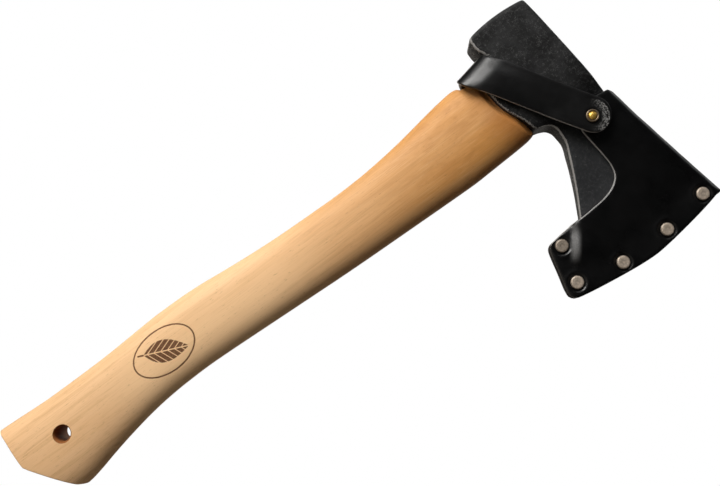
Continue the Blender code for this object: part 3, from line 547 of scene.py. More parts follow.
def brass_material():
    mat = Material("worn_brass")
    fine = mat.noise(scale=2.2, detail=4.0, rough=0.65)
    spot = mat.noise(scale=0.9, detail=3.0, rough=0.6)
    colour = mat.mix(fine, (0.70, 0.40, 0.050), (0.95, 0.64, 0.16))
    colour = mat.mix(spot.rise(0.50, 0.66) * 0.6, colour, (0.26, 0.12, 0.02))
    normal = mat.bump(fine, depth=0.05)
    return mat.finish(colour, 0.26 + fine * 0.24, metal=0.75, normal=normal, specular=0.5)


def welt_material():
    mat = Material("welt_leather")
    fibre = mat.noise(scale=2.0, detail=5.0, rough=0.7)
    layers = mat.noise(scale=0.9, detail=3.0, rough=0.6, stretch=(0.3, 1.0, 0.3))
    colour = mat.mix(fibre, (0.020, 0.018, 0.016), (0.085, 0.078, 0.07))
    colour = mat.mix(layers * 0.3, colour, (0.02, 0.018, 0.016))
    normal = mat.bump(fibre, depth=0.12)
    return mat.finish(colour, 0.72 + fibre * 0.2, metal=0.0, normal=normal, specular=0.2)


WOOD = wood_material()
BORED = bored_wood_material()
WEDGE = wedge_material()
STEEL = steel_material()
RING = ring_steel_material()
# the sheath leather carries the painted highlight over the heel of the blade
SHEATH_BLACK = leather_material(
    "black_sheath_leather", base=(0.0009, 0.0009, 0.0010), sheen_rough=0.31,
    grain_size=1.55, grain_depth=0.020, gloss=0.60, heel_highlight_painted=True,
)
# the strap leather carries the painted reflection round the snap
STRAP_BLACK = leather_material(
    "black_strap_leather", base=(0.0010, 0.0010, 0.0011), sheen_rough=0.36,
    grain_size=1.35, grain_depth=0.034, gloss=0.52, tab_sheen_painted=True,
)
NICKEL = nickel_material()
BRONZED = bronzed_material()
BRASS = brass_material()
WELT = welt_material()


# ---------------------------------------------------------------- meshes
def make(name, verts, faces, mat, smooth_degrees=40.0, attributes=None):
    """An object from millimetre points; attributes hold one value a vertex."""
    mesh = bpy.data.meshes.new(name)
    mesh.from_pydata([to_metres(point) for point in verts], [], faces)
    mesh.materials.append(mat)
    for key, values in (attributes or {}).items():
        layer = mesh.attributes.new(key, "FLOAT", "POINT")
        layer.data.foreach_set("value", np.array(values, np.float32))
    tidy(mesh, smooth_degrees, merge=2e-7)
    obj = bpy.data.objects.new(name, mesh)
    bpy.context.scene.collection.objects.link(obj)
    return obj


def tidy(mesh, smooth_degrees, merge):
    """Merges doubles, turns faces outward, marks edges bent over smooth_degrees sharp."""
    work = bmesh.new()
    work.from_mesh(mesh)
    bmesh.ops.remove_doubles(work, verts=work.verts, dist=merge)
    bmesh.ops.dissolve_degenerate(work, dist=1e-7, edges=work.edges)
    bmesh.ops.recalc_face_normals(work, faces=work.faces)
    if work.calc_volume(signed=True) < 0:
        bmesh.ops.reverse_faces(work, faces=work.faces)
    limit = math.radians(smooth_degrees)
    for face in work.faces:
        face.smooth = True
    for edge in work.edges:
        edge.smooth = len(edge.link_faces) == 2 and edge.calc_face_angle(0.0) < limit
    work.to_mesh(mesh)
    work.free()


def cut(obj, cutter, smooth_degrees):
    """Takes cutter out of obj for good and removes the cutter."""
    modifier = obj.modifiers.new("cut", "BOOLEAN")
    modifier.operation, modifier.solver = "DIFFERENCE", "EXACT"
    modifier.object = cutter
    modifier.material_mode = "TRANSFER"
    bpy.context.view_layer.update()
    graph = bpy.context.evaluated_depsgraph_get()
    result = bpy.data.meshes.new_from_object(
        obj.evaluated_get(graph), preserve_all_data_layers=True, depsgraph=graph
    )
    obj.modifiers.clear()
    old = obj.data
    obj.data = result
    result.name = obj.name
    bpy.data.meshes.remove(old)
    bpy.data.objects.remove(cutter)
    tidy(obj.data, smooth_degrees, merge=1e-7)


def tube_faces(count, around, ends="open"):
    """Quads between count rings; the ends are open, capped, or joined to each other."""
    faces = []
    for low in range(count if ends == "joined" else count - 1):
        high = (low + 1) % count
        for i in range(around):
            j = (i + 1) % around
            quad = (low * around + i, low * around + j, high * around + j, high * around + i)
            faces.append(quad)
    if ends == "capped":
        faces.append(tuple(range(around - 1, -1, -1)))
        faces.append(tuple((count - 1) * around + i for i in range(around)))
    return faces


LATHE_SEGMENTS = 72


def lathe(profile):
    """Turns (radius, height) points round the y axis; height runs towards the viewer."""
    verts, rows = [], []
    for radius, height in profile:
        if radius < 1e-6:
            rows.append([len(verts)])
            verts.append((0.0, -height, 0.0))
            continue
        rows.append(list(range(len(verts), len(verts) + LATHE_SEGMENTS)))
        for k in range(LATHE_SEGMENTS):
            angle = 2 * math.pi * k / LATHE_SEGMENTS
            verts.append((radius * math.cos(angle), -height, radius * math.sin(angle)))
    if len(rows[0]) > 1 or len(rows[-1]) > 1:
        rows = rows + [rows[0]]
    faces = []
    for low, high in zip(rows, rows[1:]):
        if len(low) == 1 and len(high) == 1:
            continue
        for i in range(LATHE_SEGMENTS):
            j = (i + 1) % LATHE_SEGMENTS
            if len(low) == 1:
                faces.append((low[0], high[i], high[j]))
            elif len(high) == 1:
                faces.append((low[i], high[0], low[j]))
            else:
                faces.append((low[i], high[i], high[j], low[j]))
    return verts, faces


def rounded(profile):
    """A profile with its corners rounded, where there is room."""
    radius, segments, count = 0.1, 3, len(profile)
    closed = not (profile[0][0] < 1e-6 and profile[-1][0] < 1e-6)
    out = []
    for i in range(count):
        corner = np.array(profile[i], float)
        before = np.array(profile[i - 1], float) - corner
        after = np.array(profile[(i + 1) % count], float) - corner
        before_length, after_length = np.linalg.norm(before), np.linalg.norm(after)
        end = not closed and i in (0, count - 1)
        if end or corner[0] < 1e-6 or min(before_length, after_length) < 1e-6:
            out.append(tuple(corner))
            continue
        reach = min(radius, 0.42 * before_length, 0.42 * after_length)
        start = corner + before / before_length * reach
        finish = corner + after / after_length * reach
        for k in range(segments + 1):
            t = k / segments
            out.append(tuple((1 - t) ** 2 * start + 2 * t * (1 - t) * corner + t * t * finish))
    return out


def turned(name, profile, x, z, mat, side=1.0, tarnish=None):
    """A lathed part facing the viewer, or away when side is -1."""
    verts, faces = lathe(rounded(profile))
    values = [tarnish(math.hypot(v[0], v[2]), -v[1]) if tarnish else 0.0 for v in verts]
    placed = [(v[0] + x, v[1] * side, v[2] + z) for v in verts]
    return make(name, placed, faces, mat, 38.0, {"tarnish": values})


# ---------------------------------------------------------------- haft
HANDLE_POWER, EYE_POWER = 2.35, 2.3
HOLE_X, HOLE_Z, HOLE_RADIUS = 1.3, 28.3, 4.15
EYE_BACK, EYE_FRONT, EYE_HALF = -21.0, 19.8, 8.7
TENON_CLEAR = 0.35
KERF_BACK, KERF_FRONT = -17.6, 16.2
KERF_TOP, KERF_BOTTOM, KERF_FLOOR = 4.6, 2.2, 338.0
RING_X, RING_OUTER, RING_INNER, RING_DEPTH, RING_CLEAR = -0.6, 6.2, 4.9, 9.0, 0.3
REAR_IN, FRONT_IN = 0.8, 0.2  # how far the grip sits inside the outlines below
BUTT_ROUND = 0.6
BUTT_CENTRE_X = 4.0

# Outlines of the haft seen from the side, as (z, x), and its half thickness as (z, y).
HAFT_REAR = Table([
    (-6, -21.2), (0, -21.4), (8, -21.1), (20, -20.4), (30, -19.9), (45, -19.8), (60, -19.9),
    (75, -20.4), (90, -21.2), (102, -21.7), (116, -21.6), (128, -21.0), (140, -19.8),
    (155, -18.4), (170, -17.3), (185, -16.6), (200, -16.2), (215, -15.9), (230, -16.2),
    (242, -17.0), (255, -18.3), (268, -20.1), (280, -22.0), (292, -23.7), (300, -24.4),
    (303.2, -24.0), (305.0, -22.5), (308.4, -21.8), (324, -21.6),
])
HAFT_FRONT = Table([
    (-6, 30.0), (6, 29.9), (16, 29.5), (24, 28.9), (31, 27.6), (40, 25.4), (50, 23.2),
    (60, 21.3), (70, 19.7), (80, 18.6), (92, 17.9), (105, 17.7), (118, 18.1), (130, 18.7),
    (150, 19.8), (170, 20.9), (190, 22.0), (210, 22.9), (230, 23.6), (250, 24.3), (268, 24.9),
    (281, 25.2), (292, 24.9), (301, 24.6), (310, 24.3), (317, 23.9), (321, 23.2), (324, 21.5),
])
HAFT_HALF = Table([
    (-6, 10.6), (15, 11.6), (35, 11.4), (60, 10.6), (100, 10.3), (150, 10.5), (200, 10.8),
    (250, 11.1), (295, 11.3), (312, 11.2), (324, 10.8),
])
# Lower and upper outlines of the head, as (x, z).
HEAD_LOW = Table([
    (-40.0, 325.9), (-39.2, 324.3), (-37.2, 323.5), (-33.6, 323.4), (-30.8, 323.9),
    (-28.6, 325.0), (-25.4, 325.5), (-23.4, 321.6), (-21.4, 318.0), (-16.0, 315.0),
    (-8.3, 314.1), (-2.0, 314.4), (4.0, 315.7), (9.0, 317.8), (14.0, 320.1), (18.5, 321.7),
    (21.3, 323.2), (22.5, 327.2), (25.0, 331.2), (29.0, 332.8), (34.5, 332.7), (44.5, 328.9),
    (60.0, 321.3), (74.3, 313.2), (83.0, 308.7), (87.5, 306.2), (91.3, 303.6),
])
HEAD_HIGH = Table([
    (-40.0, 360.4), (-39.4, 361.3), (-37.0, 361.7), (-16.0, 363.3), (5.8, 364.6),
    (28.0, 366.3), (46.0, 368.4), (62.0, 370.8), (76.0, 373.0), (86.0, 374.4), (94.2, 374.6),
])


def wood_top(x):
    return HEAD_HIGH(x) + 0.8


def butt_floor(x):
    """Height at x of the butt: a nearly level facet, then two steeper ones to the front."""
    level = 2.0 + (x - 3.4) * 0.026 - 0.85 * ease_down(x, -11.0, 9.5)
    sloping = 1.9 + (x - 3.4) * 0.70
    steep = 19.2 + (x - 27.4) * 1.5
    return soft_max(soft_max(level, sloping, 0.4), steep, 0.4) - 0.1


def grip_ring(rise, count, inset):
    """A ring that follows the butt facets near the butt and lies flat higher up."""
    ring = []
    tilt = 1.0 - ease(rise, 0.0, 48.0)
    for k in range(count):
        angle = 2 * math.pi * (k + 0.5) / count
        z = rise
        for _ in range(4):
            back = HAFT_REAR(z) + REAR_IN + inset
            front = HAFT_FRONT(z) - FRONT_IN - inset
            x, y = oval_point(back, front, HAFT_HALF(z) - inset, HANDLE_POWER, angle)
            z = rise + butt_floor(x) * tilt
        # above the underside of the head the haft narrows to the tenon
        below = ease_down(z, HEAD_LOW(x) - 1.0, 3.2)
        if below < 1.0:
            tenon_x, tenon_y = oval_point(
                EYE_BACK + TENON_CLEAR, EYE_FRONT - TENON_CLEAR, EYE_HALF - TENON_CLEAR,
                EYE_POWER, angle,
            )
            x, y = lerp(tenon_x, x, below), lerp(tenon_y, y, below)
        ring.append((x, y, z))
    return ring


def close_end(verts, faces, start, ring, centre_x, scales, height, flip):
    """Closes a ring with ever smaller rings, each point dropped onto height(x)."""
    count = len(ring)
    last = [start + i for i in range(count)]
    pairs = [(i, (i + 1) % count) for i in range(count)]
    if flip:
        pairs = [(j, i) for i, j in pairs]
    for scale in scales:
        row = []
        for x, y, z in ring:
            scaled_x = centre_x + (x - centre_x) * scale
            row.append(len(verts))
            verts.append((scaled_x, y * scale, height(scaled_x)))
        faces += [(last[i], last[j], row[j], row[i]) for i, j in pairs]
        last = row
    tip = len(verts)
    verts.append((centre_x, 0.0, height(centre_x)))
    faces += [(last[i], last[j], tip) for i, j in pairs]


def hole_cutter():
    """The hole through the butt, flared at both faces."""
    half = [(0, -16), (HOLE_RADIUS + 4.9, -16), (HOLE_RADIUS + 0.62, -11.25),
            (HOLE_RADIUS + 0.3, -10.85), (HOLE_RADIUS + 0.1, -10.5), (HOLE_RADIUS, -10.1)]
    verts, faces = lathe(half + [(radius, -height) for radius, height in half[::-1]])
    placed = [(x + HOLE_X, y, z + HOLE_Z) for x, y, z in verts]
    return make("work_hole", placed, faces, BORED)


def kerf_cutter():
    """The tapered slot for the wooden wedge."""
    verts = []
    for z, half in ((KERF_FLOOR, KERF_BOTTOM / 2), (376.0, KERF_TOP / 2)):
        verts += [(KERF_BACK, -half, z), (KERF_FRONT, -half, z)]
        verts += [(KERF_FRONT, half, z), (KERF_BACK, half, z)]
    faces = [(3, 2, 1, 0), (4, 5, 6, 7), (0, 1, 5, 4), (1, 2, 6, 5), (2, 3, 7, 6), (3, 0, 4, 7)]
    return make("work_kerf", verts, faces, WOOD)


def ring_cutter():
    """The round groove for the steel ring."""
    outer, inner = RING_OUTER + RING_CLEAR, RING_INNER - RING_CLEAR
    floor_z, top_z, count = wood_top(0) - RING_DEPTH - 0.6, 372.0, 64
    verts = []
    for radius, z in ((outer, floor_z), (outer, top_z), (inner, top_z), (inner, floor_z)):
        verts += [(x, y, z) for x, y in circle(RING_X, 0.0, radius, count)]
    return make("work_ring", verts, tube_faces(4, count, "joined"), WOOD)


def build_haft():
    count = 112
    levels = [0.0, 0.06, 0.14, 0.26, 0.42, 0.6, 1.1, 2.2, 3.6]
    levels += [5.2 + 2.3 * k for k in range(128) if 5.2 + 2.3 * k < 299.0]
    levels += [299.0 + 0.75 * k for k in range(37)] + [330.0, 338.0, 346.0, 354.0, 360.0]
    rings = []
    for level in levels:
        inset = 0.0
        if level < BUTT_ROUND:
            inset = BUTT_ROUND - math.sqrt(max(BUTT_ROUND**2 - (BUTT_ROUND - level) ** 2, 0.0))
        rings.append(grip_ring(level, count, inset))
    rings.append([(x, y, wood_top(x)) for x, y, z in rings[-1]])
    verts = [point for ring in rings for point in ring]
    faces = tube_faces(len(rings), count)
    butt_scales = (0.93, 0.82, 0.66, 0.48, 0.3, 0.13)
    close_end(verts, faces, 0, rings[0], BUTT_CENTRE_X, butt_scales, butt_floor, flip=True)
    top_start = (len(rings) - 1) * count
    top_scales = (0.9, 0.7, 0.45, 0.2)
    close_end(verts, faces, top_start, rings[-1], 0.0, top_scales, wood_top, flip=False)
    obj = make("haft", verts, faces, WOOD, 30.0)
    for cutter in (hole_cutter, kerf_cutter, ring_cutter):
        cut(obj, cutter(), 30.0)
    return obj


# ---------------------------------------------------------------- head
# Half thickness of the head, as (x, y).
HEAD_HALF = Table([
    (-40, 11.6), (-38, 12.0), (-30, 12.1), (-15, 12.2), (-6, 12.3), (4, 12.2), (11, 11.9),
    (16, 11.2), (20, 10.1), (23, 9.0), (26, 7.9), (30, 6.9), (35, 6.0), (46, 4.9), (61, 3.7),
    (75, 2.7), (85, 1.95),
])
# Stations from poll to bit: x at the lower outline, x at the upper, bow towards the bit.
SPANS = [
    (-40, -40, 0), (-39.2, -39.4, 0), (-37.2, -37, 0), (-33.6, -33.6, 0), (-30.8, -30.8, 0),
    (-28.6, -28.6, 0), (-25.4, -25.4, 0), (-23.4, -23.4, 0), (-21.4, -21.4, 0), (-16, -16, 0),
    (-8.3, -8.3, 0), (-2, -2, 0), (4, 4, 0), (9, 9, 0), (14, 14, 0), (18.5, 18.5, 0),
    (21.3, 21.3, 0), (22.5, 23.2, 0), (25, 26, 0), (29, 30, 0), (34.5, 36, 0), (44.5, 46, 0.2),
    (53, 55, 0.4), (61, 64, 0.8), (69, 72, 1.4), (77, 79, 2.2), (83, 85, 3.2), (88.2, 90, 5.0),
    (91.3, 94.2, 6.0),
]
LAST_SPAN = len(SPANS) - 1
BEVEL_HALF, EDGE_HALF = 1.25, 0.1  # half thickness where the bevel starts, and at the edge
ACROSS = 15  # points up each face between its rounded corners
# Rounded poll face: x and how far the section is drawn in.
POLL_ROWS = [(-40.0, 0.9), (-39.93, 0.55), (-39.7, 0.25), (-39.4, 0.08)]


def head_rows():
    """Sections as (lower x, upper x, bow, place along SPANS, inset)."""
    rows = [(x, x, 0, 0.0, inset) for x, inset in POLL_ROWS]
    for k, (start, end) in enumerate(zip(SPANS, SPANS[1:])):
        longest = max(end[0] - start[0], end[1] - start[1])
        count = max(1, int(math.ceil(longest / 1.05)))
        for i in range(count):
            t = i / count
            low, high, bow = (lerp(start[n], end[n], t) for n in range(3))
            if low > -39.1:
                rows.append((low, high, bow, k + t, 0.0))
    rows.append((*SPANS[-1], float(LAST_SPAN), 0.0))
    return rows


def head_half(low_x, high_x, place, inset):
    if place <= LAST_SPAN - 2:
        return HEAD_HALF((low_x + high_x) / 2) - inset
    if place <= LAST_SPAN - 1:
        low, high, _ = SPANS[LAST_SPAN - 2]
        return lerp(HEAD_HALF((low + high) / 2), BEVEL_HALF, place - (LAST_SPAN - 2))
    return lerp(BEVEL_HALF, EDGE_HALF, place - (LAST_SPAN - 1))


def corner_points(radius):
    """Quarter circle as (height, inset, how near the middle of the corner)."""
    angles = [math.pi / 2 * k / 4 for k in range(5)]
    return [
        ((1 - math.cos(a)) * radius, (1 - math.sin(a)) * radius, math.sin(2 * a))
        for a in angles
    ]


def edge_wear_and_highlight(x, height, lower, inset, ridge, on_poll):
    """How worn a point is, painted highlight included: most on the lower edges fore and aft of
    the eye.
    """
    on_corner = inset > 0
    amount = 0.72
    # the extra on the lower edges under the poll and the beard is partly bare metal, partly
    # painted highlight for the light their down-facing faces catch
    if lower and x < -26:
        amount += 0.55
    if lower and x > 24:
        amount += 0.62
    if lower and -17 < x <= 24:
        amount += 0.28
    wear_and_highlight = (0.35 + 0.65 * ridge) * amount if on_corner else 0.0
    if on_poll:
        wear_and_highlight = max(wear_and_highlight, 0.34)
    # painted highlight as well as wear on the lower corners under the poll and the beard
    if lower and on_corner and x < -26.5:
        wear_and_highlight = max(wear_and_highlight, 0.64)
    if lower and on_corner and x > 25.0:
        wear_and_highlight = max(wear_and_highlight, 0.56)
    if lower and -17.0 < x <= 25.0:
        wear_and_highlight = max(wear_and_highlight, 0.50 * (1.0 - ease(height, 1.0, 4.5)))
    return wear_and_highlight


def hammering(x, y, z, seed):
    """Unevenness of a forged face: broad waves and smaller ones."""
    broad = 0.16 * wobble(x * 0.07, y, z * 0.07, seed)
    return broad + 0.06 * wobble(x * 0.25, y, z * 0.25, seed + 6.6)


def build_head():
    rows = head_rows()
    verts, wear_and_highlight, ground = [], [], []
    for low_x, high_x, bow, place, row_inset in rows:
        low_z, high_z = HEAD_LOW(low_x) + row_inset, HEAD_HIGH(high_x) - row_inset
        tall = high_z - low_z
        half = head_half(low_x, high_x, place, row_inset)
        corner = min(1.3, 0.5 * half)
        rear = ease_down(low_x, -27.0, 4.0)
        # a wider lower corner at the notch behind the eye
        low_corner = corner + 2.2 * bell(low_x, -24.2, 2.6) + 0.2 * rear
        gap = (tall - corner - low_corner) / (ACROSS + 1)
        points = corner_points(low_corner)
        points += [(low_corner + gap * j, 0.0, 0.0) for j in range(1, ACROSS + 1)]
        points += [(tall - z, inset, ridge) for z, inset, ridge in corner_points(corner)[::-1]]
        poll_hollow = 1.45 * (1 - ease(low_x, -40.0, 9.0))
        forged = 1 - ease(place, LAST_SPAN - 1.2, 0.6)
        bit = ease(place, LAST_SPAN - 1.05, 0.25)
        near, far = [], []
        for height, inset, ridge in points:
            t = height / tall
            x = lerp(low_x, high_x, t) + (bow - poll_hollow) * 4 * t * (1 - t)
            z = low_z + height
            share = forged * (1 if inset < 0.01 else 0.4)
            chip = 0.0
            if ridge > 0:
                chip = 0.10 * wobble(x * 0.3, z * 0.1, z * 0.3, 5.0) * forged
            # wear with painted highlight on the lower edges and undersides
            worn_and_lit = edge_wear_and_highlight(x, height, t < 0.5, inset, ridge, row_inset > 0)
            near_y = -(half - inset) + hammering(x, 0.0, z, 3.1) * share + chip
            far_y = half - inset - hammering(x, 4.0, z, 13.1) * share - chip
            # the far lower edge behind the eye is a little higher
            far_z = z + 1.5 * rear * (1 - ease(height, 0.0, 4.0))
            near.append(((x, near_y, z), worn_and_lit))
            far.append(((x, far_y, far_z), worn_and_lit))
        for point, worn_and_lit in near + far[::-1]:
            verts.append(point)
            wear_and_highlight.append(worn_and_lit)
            ground.append(bit)
    half_count = 10 + ACROSS
    around = 2 * half_count
    faces = tube_faces(len(rows), around)
    # poll face and edge as strips of quads between the two sides
    for start, flip in ((0, False), ((len(rows) - 1) * around, True)):
        for i in range(half_count - 1):
            j = start + around - 1 - i
            quad = (start + i, start + i + 1, j - 1, j)
            faces.append(quad[::-1] if flip else quad)
    attributes = {"wear_and_highlight": wear_and_highlight, "ground": ground}
    obj = make("forged_head", verts, faces, STEEL, 38.0, attributes)
    count = 96
    ring = [
        oval_point(EYE_BACK, EYE_FRONT, EYE_HALF, EYE_POWER, 2 * math.pi * k / count)
        for k in range(count)
    ]
    eye_verts = [(x, y, z) for z in (300.0, 384.0) for x, y in ring]
    eye = make("work_eye", eye_verts, tube_faces(2, count, "capped"), STEEL)
    cut(obj, eye, 34.0)
    return obj


# ---------------------------------------------------------------- leather sheets
def inside_many(loop, points):
    """Which of the points lie inside loop."""
    corners = np.array(loop)
    hit = np.zeros(len(points), bool)
    for a, b in zip(corners, np.roll(corners, -1, axis=0)):
        span = (a[1] > points[:, 1]) != (b[1] > points[:, 1])
        if b[1] != a[1]:
            crossing = (b[0] - a[0]) * (points[:, 1] - a[1]) / (b[1] - a[1]) + a[0]
            hit ^= span & (points[:, 0] < crossing)
    return hit


def inside_sheet(loops, points):
    """Inside the first loop and outside the others."""
    good = inside_many(loops[0], points)
    for hole in loops[1:]:
        good &= ~inside_many(hole, points)
    return good


def clear_many(loop, points):
    """Distance of each point from the line of loop."""
    corners = np.array(loop)
    best = np.full(len(points), 1e9)
    for start, side in zip(corners, np.roll(corners, -1, axis=0) - corners):
        away = points - start
        t = np.clip((away @ side) / max(side @ side, 1e-12), 0, 1)
        best = np.minimum(best, np.hypot(*(away - np.outer(t, side)).T))
    return best


def signed_area(loop):
    points = np.array(loop)
    after = np.roll(points, -1, axis=0)
    return 0.5 * float(np.sum(points[:, 0] * after[:, 1] - after[:, 0] * points[:, 1]))


def inward(loop, is_hole):
    """Unit normals of a loop pointing into the leather."""
    points = np.array(loop)
    along = np.roll(points, -1, axis=0) - np.roll(points, 1, axis=0)
    normals = np.stack([-along[:, 1], along[:, 0]], axis=1)
    normals /= np.linalg.norm(normals, axis=1)[:, None]
    sign = 1.0 if signed_area(loop) > 0 else -1.0
    return normals * sign * (-1.0 if is_hole else 1.0)


def triangulate(loops, extra, step, box):
    """Fills the sheet. Gives points, triangles and where each loop point went."""
    x_min, x_max, y_min, y_max = box
    grid = []
    for j, y in enumerate(np.arange(y_min, y_max, step * 0.866)):
        shift = step / 2 if j % 2 else 0
        grid += [(x, y) for x in np.arange(x_min + shift, x_max, step)]
    regular = len(grid)
    grid = np.array(grid + [tuple(point) for point in extra])
    keep = inside_sheet(loops, grid) & (clear_many(loops[0], grid) > step * 0.45)
    for hole in loops[1:]:
        keep &= clear_many(hole, grid) > 0.3
    if len(extra):
        # drop grid points crowding the extra ones
        extra_points = np.array(extra)
        for i in range(regular):
            if keep[i] and np.min(np.abs(extra_points - grid[i]).sum(1)) < 0.9:
                keep[i] = False
    points, edges = [], []
    for loop in loops:
        start, count = len(points), len(loop)
        points += [tuple(map(float, point)) for point in loop]
        edges += [(start + i, start + (i + 1) % count) for i in range(count)]
    points += [tuple(map(float, point)) for point in grid[keep]]
    found = delaunay_2d_cdt(points, edges, [], 1, 1e-6)
    flat = np.array([tuple(point) for point in found[0]])
    triangles = np.array([tuple(face) for face in found[2]])
    triangles = triangles[inside_sheet(loops, flat[triangles].mean(axis=1))]
    moved_to = {old: new for new, olds in enumerate(found[3]) for old in olds}
    return flat, triangles, moved_to


def leather_sheet(
    name, outline, holes, extra, step, box, place, thick, mat, bevel,
    grain_side=1.0, is_plain=None, lift=None, rawness=None,
):
    """A closed sheet of leather with rounded cut edges, drawn as a flat pattern.

    place maps the pattern to the middle surface and grain_side says which way the grain faces
    along its normal. lift gives how far the grain skin alone and the whole sheet are raised.
    is_plain is true on a rim that is not a cut edge; rawness scales how raw a cut edge is.
    """
    if signed_area(outline) < 0:
        outline = outline[::-1]
    loops = [outline] + holes
    normals = [inward(loop, is_hole=k > 0) for k, loop in enumerate(loops)]
    cuts = [
        np.array([0.0 if is_plain and is_plain(point) else 1.0 for point in loop])
        for loop in loops
    ]
    inner = [
        np.array(loop) + normal * (bevel * is_cut)[:, None]
        for loop, normal, is_cut in zip(loops, normals, cuts)
    ]
    flat, triangles, moved_to = triangulate(inner, extra, step, box)
    used = np.unique(triangles)
    index = {int(old): new for new, old in enumerate(used)}
    frames = {}

    def frame_at(u, v):
        """Middle point and normal of the placed sheet."""
        key = (round(u, 5), round(v, 5))
        if key not in frames:
            near = 0.06
            along_u = place(u + near, v) - place(u - near, v)
            along_v = place(u, v + near) - place(u, v - near)
            normal = np.cross(along_u, along_v)
            frames[key] = (place(u, v), normal / np.linalg.norm(normal))
        return frames[key]

    verts, rim, flesh = [], [], []

    def put(u, v, height, raw, is_flesh):
        point, normal = frame_at(u, v)
        on_grain = 1.0 if height * grain_side > 0 else 0.0
        skin, whole = lift(point) if lift else (0.0, 0.0)
        verts.append(point + normal * (height + grain_side * (skin * on_grain + whole)))
        rim.append(raw * (rawness(point) if rawness else 1.0))
        flesh.append(is_flesh)
        return len(verts) - 1

    half = thick / 2
    for side in (1, -1):
        for i in used:
            put(*flat[i], side * half, 0.0, 1.0 if side * grain_side < 0 else 0.0)
    faces = []
    for triangle in triangles:
        a, b, c = (index[int(i)] for i in triangle)
        faces.append((a, b, c))
        faces.append((a + len(used), c + len(used), b + len(used)))
    start = 0
    for loop, normal, is_cut in zip(loops, normals, cuts):
        count = len(loop)
        bevels = bevel * is_cut
        # rim rows: pattern inset, height, rawness
        shoulder = bevels * 0.29
        rim_rows = (
            (shoulder, half - shoulder, 0.4),
            (bevels * 0.0, half - bevels, 1.0),
            (-0.12 * is_cut, np.full(count, 1e-4), 1.0),
            (bevels * 0.0, bevels - half, 1.0),
            (shoulder, shoulder - half, 0.4),
        )
        top = [index[moved_to[start + i]] for i in range(count)]
        rows = [top]
        for inset, height, raw in rim_rows:
            row = []
            for i in range(count):
                u, v = np.array(loop[i]) + normal[i] * inset[i]
                row.append(put(u, v, height[i], raw * is_cut[i], 0.0))
            rows.append(row)
        rows.append([i + len(used) for i in top])
        for upper, lower in zip(rows, rows[1:]):
            for i in range(count):
                j = (i + 1) % count
                faces.append((upper[i], upper[j], lower[j], lower[i]))
        start += count
    return make(name, verts, faces, mat, 46.0, {"rim": rim, "flesh": flesh})


# ---------------------------------------------------------------- sheath and strap shape
LEATHER, STRAP_LEATHER, STRAP_MID_Y = 2.5, 2.2, 13.9
SEAM_HALF_GAP, WELT_HALF = 1.4, 1.1
CORNER_RADIUS = 6.2  # bend of the strap round the rear corners of the neck
REAR_X, REAR_Z, REAR_LEAN = -21.9, 314.6, -0.194
BAND_LOW_Z, BAND_HIGH_Z = 307.8, 324.8
RIVETS = [(79.6, 296.0), (99.9, 290.4), (106.2, 316.8), (106.5, 346.8), (103.0, 374.4)]  # x, z
RIVET_HOLE_RADIUS = 1.65
STRAP_DIR = np.array((0.847, 0.5316))  # along the tab towards its tip, in x and z
STRAP_SIDE = np.array((-0.5316, 0.847))
# Along the leather, from the rear line to the middle plane.
BAND_REACH = CORNER_RADIUS * math.pi / 2 + STRAP_MID_Y - CORNER_RADIUS

# Height of the fold over the head, as (x, z).
FOLD_TOP = Table([
    (20, 368.7), (30.5, 369.9), (36.9, 371.1), (44.5, 372.5), (52.6, 374.2), (60, 375.8),
    (73.5, 378.4), (85, 380.8), (96.8, 383.1), (112, 385.8),
])
# Inner face of the panels, and middle of the far panel where it becomes the strap, as (x, y).
PANEL_IN = Table([
    (24, 9.0), (28, 8.5), (34, 8.0), (45, 6.4), (60, 4.8), (74, 3.6), (86, 2.4), (95, 1.6),
    (100, SEAM_HALF_GAP), (116, SEAM_HALF_GAP),
])
ARM_MID = Table([(12, STRAP_MID_Y), (18, 13.7), (23, 12.9), (28, 11.3), (33, 9.6), (37, 8.9)])

# Outlines in the side view, as (x, z).
MOUTH = [
    (75.3, 295.2), (74.5, 303.0), (74.1, 313.0), (73.7, 322.0), (72.9, 330.5), (70.7, 337.4),
    (66.9, 342.1), (61.4, 343.9), (54.0, 343.8), (44.0, 342.8),
]
NEAR_MOUTH_END = [(36.5, 342.4), (31.0, 344.6), (27.6, 349.4), (26.4, 356.0), (26.5, 361.5)]
BIT_SIDE = [
    (107.8, 380.3), (109.6, 371.0), (111.6, 357.0), (113.3, 341.0), (113.6, 334.0),
    (112.9, 324.0), (110.9, 309.0), (108.4, 294.0), (107.3, 288.6),
]
HEEL_SIDE = [
    (107.3, 288.6), (106.2, 285.2), (103.8, 283.5), (101.0, 283.6), (90.0, 286.5),
    (80.0, 289.2), (77.2, 290.4), (75.7, 292.4), (75.3, 295.2),
]
FAR_ARM_LOWER = [
    (44.0, 343.4), (40.5, 343.0), (37.0, 341.5), (33.0, 338.9), (26.0, 334.4), (15.0, 327.5),
    (-1.5, 317.2), (-8.3, 313.5), (-14.0, 311.2), (-19.9, 309.8), (-24.0, 309.6),
    (-28.6, 309.2),
]
FAR_ARM_UPPER = [
    (-33.0, 324.8), (-28.0, 324.9), (-24.0, 326.2), (-18.6, 330.0), (-12.6, 333.8),
    (-5.9, 337.9), (6.0, 345.3), (15.0, 351.2), (20.5, 356.0), (24.0, 360.2), (26.0, 362.6),
]
TAB_LOWER = [
    (-28.6, 305.4), (-24.0, 304.8), (-19.9, 305.2), (-14.0, 309.2), (-8.3, 313.0),
    (-1.5, 317.2), (15.0, 327.5), (24.4, 333.2), (39.06, 342.5),
]
TAB_UPPER = [
    (28.54, 359.3), (15.0, 350.8), (-5.9, 337.7), (-12.6, 333.8), (-18.6, 330.0),
    (-24.0, 326.2), (-28.0, 324.9), (-33.0, 324.8),
]
